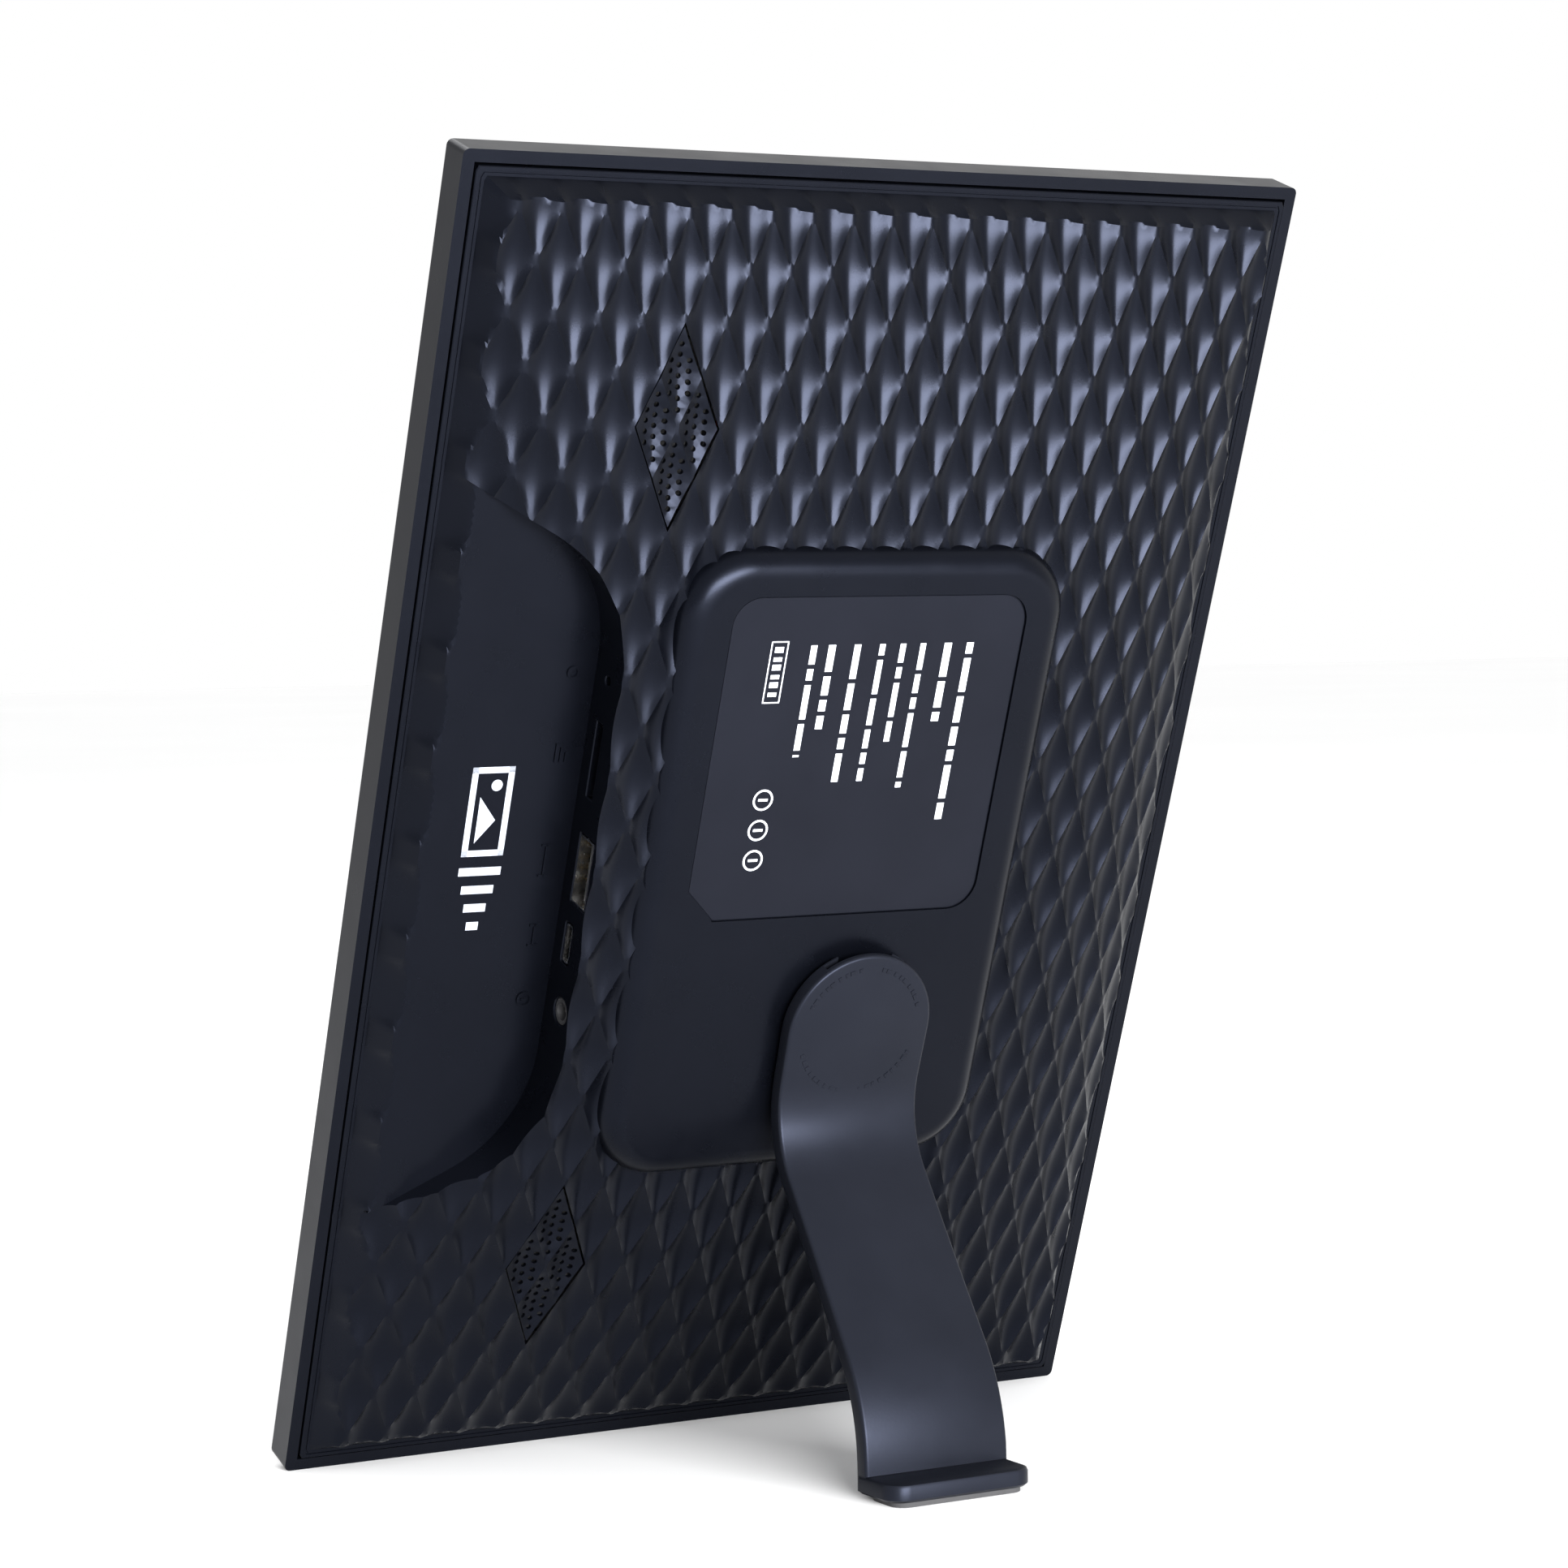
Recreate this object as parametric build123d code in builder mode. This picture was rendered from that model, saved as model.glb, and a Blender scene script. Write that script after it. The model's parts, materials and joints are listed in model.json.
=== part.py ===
"""Digital photo frame on a slide-on S-curved leg, standing in portrait and leaning back.

World frame: millimetres, +Z up, the screen faces -Y. The origin is on the surface that the
frame stands on, in the middle of its footprint. The case is drawn in a leaning panel frame:
u runs across the back (seen from behind, to the right), v runs up the panel, and w is the
height above the rear rim, positive out of the back and negative towards the screen.
"""
from build123d import *
from math import cos, radians, sin, tan
import os

# ---------------------------------------------------------------- driving dimensions
WIDTH = 174.5           # case, short side
HEIGHT = 257.0          # case, long side
RIM_DEPTH = 7.5         # side wall of the front moulding
LEAN = 20.0             # lean of the panel from upright, degrees
WALL = 2.3              # side wall thickness
SKIN = 1.8              # front skin thickness
SHELL = 1.6             # back cover thickness
WINDOW = (140.0, 221.0)

LIP_INSET = 2.6         # back cover edge, from the case edge
FLANK_FOOT = 4.3        # where the steep flank of the cover starts
FLANK_HEAD = 7.2        # where it ends and the dome begins
LIP_W = 0.3
EDGE_W = 5.5            # dome height at the head of the flank
DOME_RISE = 12.9        # further rise to the middle of the dome
DOME_SAG = 4.2          # how much less the dome rises towards the long edges
DOME_POWER_U = 6.2
DOME_POWER_V = 2.6
QUILT = (8.2, 18.4)     # one diamond of the quilted relief
QUILT_V = 129.1         # a row of diamonds is centred here

PLATEAU = (82.0, 125.0)
PLATEAU_W = 18.8
PLATEAU_CORNER = 14.0
PLATEAU_ROUND = 5.0

BAY_WALL_U = 37.2       # connector wall of the recessed bay
BAY_FLOOR_W = 5.5
BAY_OVERHANG = 20.0     # the bay outline is drawn to this far outside the case
BAY_START_V = 43.3      # and starts there at this height
BAY_KNEE_V = 72.7
BAY_RADIUS = 27.0

GRILLE_U = WIDTH / 2 - 5.5 * QUILT[0]
GRILLE_SIZE = (2 * QUILT[0] - 0.6, 2 * QUILT[1] - 1.2)
GRILLE_V = {"upper": QUILT_V + 4.5 * QUILT[1], "lower": QUILT_V - 4.5 * QUILT[1]}

BOARD_W = 9.0           # component side of the main board
BOARD_T = 1.2
BOARD_U = (39.4, 84.0)
BOARD_V = (88.0, 172.0)

HUB_U = 95.5
HUB_V = 97.0
HUB_SHAFT_R = 7.0
HUB_DISC_R = 12.0
LEG_TOP_W = 23.3        # outer face of the leg's head
LEG_T = 3.6
LEG_HALF = 15.4
LEG_WAIST = 15.0
LEG_SLOPE = 35.0        # middle stretch of the leg, from upright, degrees
FOOT_REACH = 81.4       # outer face of the shin, behind the rear bottom edge
FOOT_TIP = 91.0         # end of the foot
PAD_T = 1.0
FOOT_TOP = 4.4

# ---------------------------------------------------------------- leaning panel frame
MID_U = WIDTH / 2
MID_V = HEIGHT / 2
FRONT_EDGE = RIM_DEPTH * cos(radians(LEAN))
SHIFT_Y = -(FOOT_TIP - FRONT_EDGE) / 2      # centres the footprint on the origin

panel = Plane(
    origin=(MID_U, SHIFT_Y, 0),
    x_dir=(-1, 0, 0),
    z_dir=(0, cos(radians(LEAN)), -sin(radians(LEAN))),
)
side = Plane(origin=(MID_U - HUB_U, SHIFT_Y, 0), x_dir=(0, 1, 0), z_dir=(1, 0, 0))

DOME_STEPS = 10         # sections and points that the dome is drawn through
ABOVE_ALL = 30.0        # a height clear above the whole case

os.makedirs("parts", exist_ok=True)


def at(u, v, w=0.0):
    """The plane parallel to the panel whose origin is at u, v, w."""
    return Plane(origin=panel.from_local_coords((u, v, w)), x_dir=panel.x_dir, z_dir=panel.z_dir)


def across(u, v, w=0.0):
    """The plane facing +u whose x runs up the panel and whose y runs out of the back."""
    return Plane(origin=panel.from_local_coords((u, v, w)), x_dir=panel.y_dir, z_dir=panel.x_dir)


def along(u, v, w=0.0):
    """The plane facing up the panel whose x runs out of the back and whose y runs across it."""
    return Plane(origin=panel.from_local_coords((u, v, w)), x_dir=panel.z_dir, z_dir=panel.y_dir)


def save(piece, name):
    """Label a finished piece and write it as one STEP file."""
    piece.part.label = name
    export_step(piece.part, f"parts/{name}.step")


def dome_w(x, y):
    """Height of the dome at shares x and y of the way from its middle to its edges."""
    rise = DOME_RISE - DOME_SAG * x**2
    return EDGE_W + rise * (1 - abs(x) ** DOME_POWER_U) * (1 - abs(y) ** DOME_POWER_V)


def dome_section(share, inset, drop):
    """Closed outline across the dome at that share of its half length, its top lowered by drop."""
    half = MID_U - inset
    base = EDGE_W - 2.5 - drop
    plane = along(MID_U, MID_V + share * (MID_V - inset))
    top = []
    for step in range(DOME_STEPS + 1):
        x = -cos(radians(180 * step / DOME_STEPS))
        top.append((dome_w(x, share) - drop, x * half))
    with BuildSketch(plane, mode=Mode.PRIVATE) as section:
        with BuildLine():
            crest = Spline(*top)
            Polyline(crest @ 0, (base, -half), (base, half), crest @ 1)
        make_face()
    return section.sketch


def dome(inset, drop):
    """The domed body of the back cover, lofted through its cross sections."""
    sections = []
    for step in range(DOME_STEPS + 1):
        sections.append(dome_section(-cos(radians(180 * step / DOME_STEPS)), inset, drop))
    return loft(sections, mode=Mode.PRIVATE)


def flank(inset_foot, inset_head, low, high):
    """The steep flank below the dome, as a tapered block."""
    with BuildPart(mode=Mode.PRIVATE) as block:
        with BuildSketch(at(MID_U, MID_V, low)):
            Rectangle(WIDTH - 2 * inset_foot, HEIGHT - 2 * inset_foot)
        with BuildSketch(at(MID_U, MID_V, high)):
            Rectangle(WIDTH - 2 * inset_head, HEIGHT - 2 * inset_head)
        loft()
    return block.part


def bay_prism(grow, low, high):
    """The space of the connector bay between two heights, its outline grown outwards."""
    with BuildPart(mode=Mode.PRIVATE) as prism:
        with BuildSketch(at(0, 0, low)):
            with BuildLine():
                edge = FilletPolyline(
                    (-BAY_OVERHANG, BAY_START_V - grow),
                    (BAY_WALL_U + grow, BAY_KNEE_V - grow / 2),
                    (BAY_WALL_U + grow, HEIGHT - BAY_KNEE_V + grow / 2),
                    (-BAY_OVERHANG, HEIGHT - BAY_START_V + grow),
                    radius=BAY_RADIUS + grow,
                )
                Line(edge @ 1, edge @ 0)
            make_face()
        extrude(amount=high - low)
    return prism.part


def plateau(grow, top, foot):
    """The raised stand plateau in the middle of the back."""
    with BuildPart(mode=Mode.PRIVATE) as block:
        with BuildSketch(at(MID_U, MID_V, foot)):
            RectangleRounded(PLATEAU[0] + 2 * grow, PLATEAU[1] + 2 * grow, PLATEAU_CORNER + grow)
        extrude(amount=top - foot)
        crown = block.faces().sort_by(Axis(panel.origin, panel.z_dir))[-1]
        fillet(crown.edges(), PLATEAU_ROUND)
    return block.part


def diamond_prism(v, grow, low, high):
    """A diamond-shaped block over a speaker."""
    half_u = GRILLE_SIZE[0] / 2 + grow
    half_v = GRILLE_SIZE[1] / 2 + grow * GRILLE_SIZE[1] / GRILLE_SIZE[0]
    with BuildPart(mode=Mode.PRIVATE) as prism:
        with BuildSketch(at(GRILLE_U, v, low)):
            Polygon((half_u, 0), (0, half_v), (-half_u, 0), (0, -half_v), align=None)
        extrude(amount=high - low)
    return prism.part


# ---------------------------------------------------------------- front moulding
SKIRT_LOW = -3.2        # lower edge of the cover's skirt inside the moulding
SKIRT_T = 1.5
HOOK_SPACING_V = 52.0
HOOK_SPACING_U = 60.0
HOOK_LENGTH = 10.0
hook_places = []
for row in range(-2, 3):
    for sign in (-1, 1):
        hook_places.append((sign * (MID_U - LIP_INSET), row * HOOK_SPACING_V, 90))
for row in range(-1, 2):
    for sign in (-1, 1):
        hook_places.append((row * HOOK_SPACING_U, sign * (MID_V - LIP_INSET), 0))
hook_spots = [Location((x, y, 0), (0, 0, turn)) for x, y, turn in hook_places]

LCD_SIZE = (149.1, 229.5)
POST_SPOTS = [(sx * (LCD_SIZE[0] / 2 + 4.6), sy * 80) for sx in (-1, 1) for sy in (-1, 1)]
POST_R = 2.6
POST_LENGTH = 3.6
PILOT_R = 0.9           # pilot hole for a self-tapping screw
SCREW_HOLE_R = 1.1      # clearance hole for the same screw
GLASS_W = -RIM_DEPTH + SKIN
HOOK_W = SKIRT_LOW
HOOK_DEPTH = 0.9

with BuildPart() as front_bezel:
    with BuildSketch(at(MID_U, MID_V, -RIM_DEPTH)):
        RectangleRounded(WIDTH, HEIGHT, 1.2)
    extrude(amount=RIM_DEPTH)
    with BuildSketch(at(MID_U, MID_V, GLASS_W)):
        Rectangle(WIDTH - 2 * WALL, HEIGHT - 2 * WALL)
    extrude(amount=RIM_DEPTH, mode=Mode.SUBTRACT)
    with BuildSketch(at(MID_U, MID_V, -RIM_DEPTH)):
        RectangleRounded(*WINDOW, 0.8)
    extrude(amount=SKIN, mode=Mode.SUBTRACT)
    front_face = front_bezel.faces().sort_by(Axis(panel.origin, panel.z_dir))[0]
    window_edges = front_face.inner_wires()[0].edges()
    chamfer(window_edges, 1.2)
    outline = front_bezel.faces().sort_by(Axis(panel.origin, panel.z_dir))[0].outer_wire().edges()
    fillet(outline, 0.7)
    with BuildSketch(at(MID_U, MID_V, GLASS_W)):
        with Locations(*POST_SPOTS):
            Circle(POST_R)
    extrude(amount=POST_LENGTH)
    with BuildSketch(at(MID_U, MID_V, GLASS_W + POST_LENGTH)):
        with Locations(*POST_SPOTS):
            Circle(PILOT_R)
    extrude(amount=-POST_LENGTH + 0.6, mode=Mode.SUBTRACT)
    # slots for the snap hooks of the cover
    with BuildSketch(at(MID_U, MID_V, HOOK_W - 0.4)):
        with Locations(*hook_spots):
            Rectangle(HOOK_LENGTH + 1.2, 2.4)
    extrude(amount=HOOK_DEPTH + 0.7, mode=Mode.SUBTRACT)
save(front_bezel, "front_bezel")

TAPE_T = 0.2
TOUCH_T = 1.1
TOUCH_SIZE = (147.0, 228.0)
with BuildPart() as glass_tape:
    with BuildSketch(at(MID_U, MID_V, GLASS_W)):
        Rectangle(TOUCH_SIZE[0] - 0.4, TOUCH_SIZE[1] - 0.4)
        Rectangle(WINDOW[0] + 3.4, WINDOW[1] + 3.4, mode=Mode.SUBTRACT)
    extrude(amount=TAPE_T)
save(glass_tape, "glass_tape")

TOUCH_W = GLASS_W + TAPE_T
with BuildPart() as touch_glass:
    with BuildSketch(at(MID_U, MID_V, TOUCH_W)):
        RectangleRounded(*TOUCH_SIZE, 1.0)
    extrude(amount=TOUCH_T)
save(touch_glass, "touch_glass")

CELL_W = TOUCH_W + TOUCH_T
CELL_T = 1.0
GUIDE_T = 0.9
PAN_T = 0.3
with BuildPart() as lcd_panel:
    with BuildSketch(at(MID_U, MID_V, CELL_W)):
        Rectangle(LCD_SIZE[0] - 4, LCD_SIZE[1] - 4)
    extrude(amount=CELL_T)
save(lcd_panel, "lcd_panel")

with BuildPart() as light_guide:
    with BuildSketch(at(MID_U, MID_V, CELL_W + CELL_T)):
        Rectangle(LCD_SIZE[0] - 4, LCD_SIZE[1] - 4)
    extrude(amount=GUIDE_T)
save(light_guide, "light_guide")

PAN_W = CELL_W + CELL_T + GUIDE_T
with BuildPart() as backlight_pan:
    with BuildSketch(at(MID_U, MID_V, CELL_W)):
        Rectangle(*LCD_SIZE)
        Rectangle(LCD_SIZE[0] - 2 * PAN_T, LCD_SIZE[1] - 2 * PAN_T, mode=Mode.SUBTRACT)
    extrude(amount=CELL_T + GUIDE_T)
    with BuildSketch(at(MID_U, MID_V, PAN_W)):
        Rectangle(*LCD_SIZE)
    extrude(amount=PAN_T)
save(backlight_pan, "backlight_pan")

BRACKET_W = GLASS_W + POST_LENGTH
BRACKET_T = 0.5
with BuildPart() as lcd_brackets:
    with BuildSketch(at(MID_U, MID_V, BRACKET_W)):
        for x, y in POST_SPOTS:
            inward = -1 if x > 0 else 1
            with Locations((x + inward * 2.5, y)):
                RectangleRounded(11, 9, 1.0)
            with Locations((x, y)):
                Circle(SCREW_HOLE_R, mode=Mode.SUBTRACT)
    extrude(amount=BRACKET_T)
save(lcd_brackets, "lcd_brackets")


HEAD_H = 1.1
CROSS = (1.8, 0.45)     # cross recess in a screw head
CROSS_DEPTH = 0.6


def screws(name, spots, plane_w, shank, head_r=1.7, shank_r=0.85, sign=-1):
    """Pan-head screws whose heads sit on plane_w and whose shanks run to sign * w."""
    with BuildPart() as group:
        with BuildSketch(at(0, 0, plane_w)):
            with Locations(*spots):
                Circle(head_r)
        extrude(amount=-sign * HEAD_H)
        with BuildSketch(at(0, 0, plane_w)):
            with Locations(*spots):
                Circle(shank_r)
        extrude(amount=sign * shank)
        with BuildSketch(at(0, 0, plane_w - sign * HEAD_H)):
            with Locations(*spots):
                Rectangle(*CROSS)
                Rectangle(*reversed(CROSS))
        extrude(amount=sign * CROSS_DEPTH, mode=Mode.SUBTRACT)
    save(group, name)


post_centres = [(MID_U + x, MID_V + y) for x, y in POST_SPOTS]
screws("lcd_screws", post_centres, BRACKET_W + BRACKET_T, 3.2)

# ---------------------------------------------------------------- back cover
LABEL_SIZE = (62.0, 63.0)
LABEL_V = 150.9
LABEL_CORNER = 5.5
LABEL_CHAMFER = 6.0
LABEL_T = 0.15
LABEL_RECESS = 0.3
PORT_V = {"reset": 163.9, "card": 148.4, "usb_a": 127.3, "micro_usb": 112.4, "power": 99.4}
USB_A_W = 12.06
MICRO_W = 10.35
CARD_W = 10.05
POWER_W = 11.8
RESET_W = 10.4
USB_A_OPENING = (13.6, 6.0)
MICRO_OPENING = (8.2, 3.1)
CARD_OPENING = (14.6, 2.4)
POWER_OPENING_R = 2.6
RESET_OPENING_R = 0.9
BOSS_R = 2.5
PLATE_BOSS_R = 3.0
HUB_BOSS_R = 11.0
PLATE_HOLES = (34.0, 30.0)
BOSS_SPOTS = [(54.0, 92.0), (54.0, 168.0), (78.0, 122.0), (78.0, 168.0)]
PLATE_SPOTS = [
    (HUB_U + sx * PLATE_HOLES[0] / 2, HUB_V + sy * PLATE_HOLES[1] / 2)
    for sx in (-1, 1)
    for sy in (-1, 1)
]
PLATE_W = 13.4
PLATE_T = 1.2


def label_outline(grow):
    """Rounded rating label with one clipped corner, drawn about its centre."""
    half_u = LABEL_SIZE[0] / 2 + grow
    half_v = LABEL_SIZE[1] / 2 + grow
    with BuildSketch(mode=Mode.PRIVATE) as outline_sketch:
        with BuildLine():
            Polyline(
                (-half_u + LABEL_CHAMFER, -half_v),
                (half_u, -half_v),
                (half_u, half_v),
                (-half_u, half_v),
                (-half_u, -half_v + LABEL_CHAMFER),
                close=True,
            )
        make_face()
        corners = outline_sketch.vertices().filter_by(lambda p: abs(p.X) + abs(p.Y) > half_u + half_v - 1)
        fillet(corners, LABEL_CORNER)
    return outline_sketch.sketch


outer = dome(FLANK_HEAD, 0.0) + flank(FLANK_FOOT, FLANK_HEAD, LIP_W, EDGE_W)
inner = dome(FLANK_HEAD + SHELL, SHELL) + flank(
    FLANK_FOOT + SHELL, FLANK_HEAD + SHELL, LIP_W - SHELL, EDGE_W - SHELL
)
bay_lining = outer & bay_prism(SHELL, BAY_FLOOR_W - SHELL, ABOVE_ALL)

with BuildPart() as back_cover:
    with BuildSketch(at(MID_U, MID_V, SKIRT_LOW)):
        Rectangle(WIDTH - 2 * LIP_INSET, HEIGHT - 2 * LIP_INSET)
    extrude(amount=LIP_W - SKIRT_LOW)
    add(outer)
    add(plateau(0, PLATEAU_W, 8))
    with BuildSketch(at(MID_U, MID_V, SKIRT_LOW)):
        inset = LIP_INSET + SKIRT_T
        Rectangle(WIDTH - 2 * inset, HEIGHT - 2 * inset)
    extrude(amount=LIP_W - SHELL - SKIRT_LOW, mode=Mode.SUBTRACT)
    add(inner, mode=Mode.SUBTRACT)
    add(plateau(-SHELL, PLATEAU_W - 2.0, 0), mode=Mode.SUBTRACT)
    add(bay_lining)
    add(bay_prism(0, BAY_FLOOR_W, ABOVE_ALL), mode=Mode.SUBTRACT)
    # connector openings in the bay wall
    with BuildSketch(across(BAY_WALL_U, 0, 0)):
        with Locations((PORT_V["usb_a"], USB_A_W)):
            Rectangle(*USB_A_OPENING)
        with Locations((PORT_V["micro_usb"], MICRO_W)):
            RectangleRounded(*MICRO_OPENING, 0.8)
        with Locations((PORT_V["card"], CARD_W)):
            Rectangle(*CARD_OPENING)
        with Locations((PORT_V["power"], POWER_W)):
            Circle(POWER_OPENING_R)
        with Locations((PORT_V["reset"], RESET_W)):
            Circle(RESET_OPENING_R)
    extrude(amount=4, both=True, mode=Mode.SUBTRACT)
    # speaker openings
    for centre_v in GRILLE_V.values():
        add(diamond_prism(centre_v, 0.2, 0, ABOVE_ALL), mode=Mode.SUBTRACT)
    # shallow label recess
    add(at(MID_U, LABEL_V, PLATEAU_W - LABEL_RECESS).location * extrude(
        label_outline(0.3), amount=2, mode=Mode.PRIVATE), mode=Mode.SUBTRACT)
    # bosses for the main board and the hub plate
    with BuildSketch(at(0, 0, BOARD_W)):
        with Locations(*BOSS_SPOTS):
            Circle(BOSS_R)
    extrude(amount=PLATEAU_W - 1 - BOARD_W)
    with BuildSketch(at(0, 0, PLATE_W + PLATE_T)):
        with Locations(*PLATE_SPOTS):
            Circle(PLATE_BOSS_R)
        with Locations((HUB_U, HUB_V)):
            Circle(HUB_BOSS_R)
    extrude(amount=PLATEAU_W - 1 - PLATE_W - PLATE_T)
    with BuildSketch(at(0, 0, BOARD_W)):
        with Locations(*BOSS_SPOTS):
            Circle(PILOT_R)
    extrude(amount=6, mode=Mode.SUBTRACT)
    with BuildSketch(at(0, 0, PLATE_W)):
        with Locations(*PLATE_SPOTS):
            Circle(PILOT_R)
    extrude(amount=4, mode=Mode.SUBTRACT)
    with BuildSketch(at(HUB_U, HUB_V, PLATE_W)):
        Circle(HUB_SHAFT_R + 0.05)
    extrude(amount=10, mode=Mode.SUBTRACT)
    # snap hooks on the skirt
    with BuildSketch(at(MID_U, MID_V, HOOK_W)):
        with Locations(*hook_spots):
            Rectangle(HOOK_LENGTH, 1.4)
    extrude(amount=HOOK_DEPTH)
save(back_cover, "back_cover")

with BuildPart() as rating_label:
    add(at(MID_U, LABEL_V, PLATEAU_W - LABEL_RECESS).location * extrude(
        label_outline(0), amount=LABEL_T, mode=Mode.PRIVATE))
save(rating_label, "rating_label")

# ---------------------------------------------------------------- speakers
CELL = (GRILLE_SIZE[0] / 2, GRILLE_SIZE[1] / 2)
HOLE_R = 0.5
HOLE_PITCH = 1.9
HOLE_COLUMN = 1.75
GRILLE_T = 0.8
cell_holes = [(0, HOLE_PITCH * step) for step in range(-3, 4)]
cell_holes += [(sx * HOLE_COLUMN, HOLE_PITCH * (step - 1.5)) for sx in (-1, 1) for step in range(4)]
cell_centres = [(0, CELL[1] / 2), (0, -CELL[1] / 2), (CELL[0] / 2, 0), (-CELL[0] / 2, 0)]
grille_holes = [(cx + x, cy + y) for cx, cy in cell_centres for x, y in cell_holes]
grille_sheet = dome(FLANK_HEAD, 0.5) - dome(FLANK_HEAD + 0.5, 0.5 + GRILLE_T)

SPEAKER_W = 2.3         # underside of a speaker's frame
SPEAKER = (21.0, 38.0, 5.0)
SPEAKER_BOWL = (18.0, 35.0, 4.0)
SPEAKER_DEPTH = 4.2
SURROUND = (17.8, 34.8, 3.9)
SURROUND_T = 0.3
CONE = (13.0, 30.0, 4.0)
COIL_R = 4.2
COIL_T = 0.3
COIL_LENGTH = 1.5
MAGNET_R = 6.0
POLE_R = 3.5
GASKET_T = 0.5
LEAD_R = 0.6
LEAD_U = 60.5
LEAD_W = BOARD_W + 0.8
CONE_W = SPEAKER_W + SPEAKER_DEPTH - 1.0

for name, centre_v in GRILLE_V.items():
    with BuildPart() as grille:
        add(grille_sheet & diamond_prism(centre_v, 0, EDGE_W + 1.5, ABOVE_ALL))
        with BuildSketch(at(GRILLE_U, centre_v, EDGE_W)):
            with Locations(*grille_holes):
                Circle(HOLE_R)
        extrude(amount=ABOVE_ALL, mode=Mode.SUBTRACT)
    save(grille, f"speaker_grille_{name}")

    with BuildPart() as frame:
        with BuildSketch(at(GRILLE_U, centre_v, SPEAKER_W)):
            RectangleRounded(*SPEAKER)
        extrude(amount=SPEAKER_DEPTH)
        with BuildSketch(at(GRILLE_U, centre_v, SPEAKER_W + 1)):
            RectangleRounded(*SPEAKER_BOWL)
        extrude(amount=SPEAKER_DEPTH, mode=Mode.SUBTRACT)
        with BuildSketch(at(GRILLE_U, centre_v, SPEAKER_W)):
            Circle(MAGNET_R + 0.1)
        extrude(amount=SPEAKER_DEPTH, mode=Mode.SUBTRACT)
    save(frame, f"speaker_frame_{name}")

    with BuildPart() as cone:
        with BuildSketch(at(GRILLE_U, centre_v, CONE_W)):
            RectangleRounded(*SURROUND)
        extrude(amount=SURROUND_T)
        with BuildSketch(at(GRILLE_U, centre_v, CONE_W + SURROUND_T)):
            RectangleRounded(*CONE)
        extrude(amount=0.5, taper=45)
        with BuildSketch(at(GRILLE_U, centre_v, CONE_W)):
            Circle(COIL_R)
            Circle(COIL_R - COIL_T, mode=Mode.SUBTRACT)
        extrude(amount=-COIL_LENGTH)
    save(cone, f"speaker_cone_{name}")

    with BuildPart() as magnet:
        with BuildSketch(at(GRILLE_U, centre_v, SPEAKER_W - 1.6)):
            Circle(MAGNET_R)
        extrude(amount=3.0)
        with BuildSketch(at(GRILLE_U, centre_v, SPEAKER_W + 1.4)):
            Circle(POLE_R)
        extrude(amount=1.2)
    save(magnet, f"speaker_magnet_{name}")

    with BuildPart() as gasket:
        with BuildSketch(at(GRILLE_U, centre_v, SPEAKER_W + SPEAKER_DEPTH)):
            RectangleRounded(*SPEAKER)
            RectangleRounded(SPEAKER_BOWL[0] + 0.4, SPEAKER_BOWL[1] + 0.4, 4, mode=Mode.SUBTRACT)
        extrude(amount=GASKET_T)
    save(gasket, f"speaker_gasket_{name}")

    up = 1 if name == "upper" else -1
    board_end = BOARD_V[1] if up > 0 else BOARD_V[0]
    lead_foot = SPEAKER_W + LEAD_R + 0.1
    with BuildPart() as lead:
        with BuildLine():
            route = FilletPolyline(
                panel.from_local_coords((LEAD_U, board_end - up * 3, LEAD_W)),
                panel.from_local_coords((LEAD_U, board_end + up * 12, LEAD_W)),
                panel.from_local_coords((LEAD_U, centre_v - up * 2, lead_foot)),
                panel.from_local_coords((GRILLE_U + SPEAKER[0] / 2, centre_v - up * 2, lead_foot)),
                radius=2.2,
            )
        with BuildSketch(Plane(origin=route @ 0, z_dir=route % 0)):
            Circle(LEAD_R)
        sweep()
    save(lead, f"speaker_lead_{name}")

# ---------------------------------------------------------------- main board
BOARD_MID = ((BOARD_U[0] + BOARD_U[1]) / 2, (BOARD_V[0] + BOARD_V[1]) / 2)
with BuildPart() as main_board:
    with BuildSketch(at(BOARD_MID[0], BOARD_MID[1], BOARD_W - BOARD_T)):
        RectangleRounded(BOARD_U[1] - BOARD_U[0], BOARD_V[1] - BOARD_V[0], 1.5)
    extrude(amount=BOARD_T)
    with BuildSketch(at(0, 0, BOARD_W)):
        with Locations(*BOSS_SPOTS):
            Circle(SCREW_HOLE_R)
    extrude(amount=-BOARD_T, mode=Mode.SUBTRACT)
save(main_board, "main_board")
screws("board_screws", BOSS_SPOTS, BOARD_W - BOARD_T, 5.5, sign=1)


def chip(name, spots, size, thickness, base=BOARD_W, corner=0.4):
    """Flat components soldered on the board, one solid for each spot."""
    with BuildPart() as group:
        with BuildSketch(at(0, 0, base)):
            with Locations(*spots):
                RectangleRounded(*size, corner)
        extrude(amount=thickness)
        fillet(group.faces().sort_by(Axis(panel.origin, panel.z_dir))[-1].edges(), 0.15)
    save(group, name)


PROCESSOR_SPOT = (65.5, 142.0)
chip("main_processor", [PROCESSOR_SPOT], (14, 14), 1.3)
chip("memory_chips", [(65.5, 157), (78.5, 142)], (9, 12), 1.0)
chip("power_inductors", [(61, 108), (68, 108), (61, 116)], (5, 5), 2.4)
chip("capacitors", [(68, 116), (68, 120), (60, 123)], (3.2, 1.8), 1.4)
chip("wifi_module", [(78, 156.5)], (7.5, 9), 1.6)
chip("panel_connector", [(68, 99)], (16, 4.2), 1.1)

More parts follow.
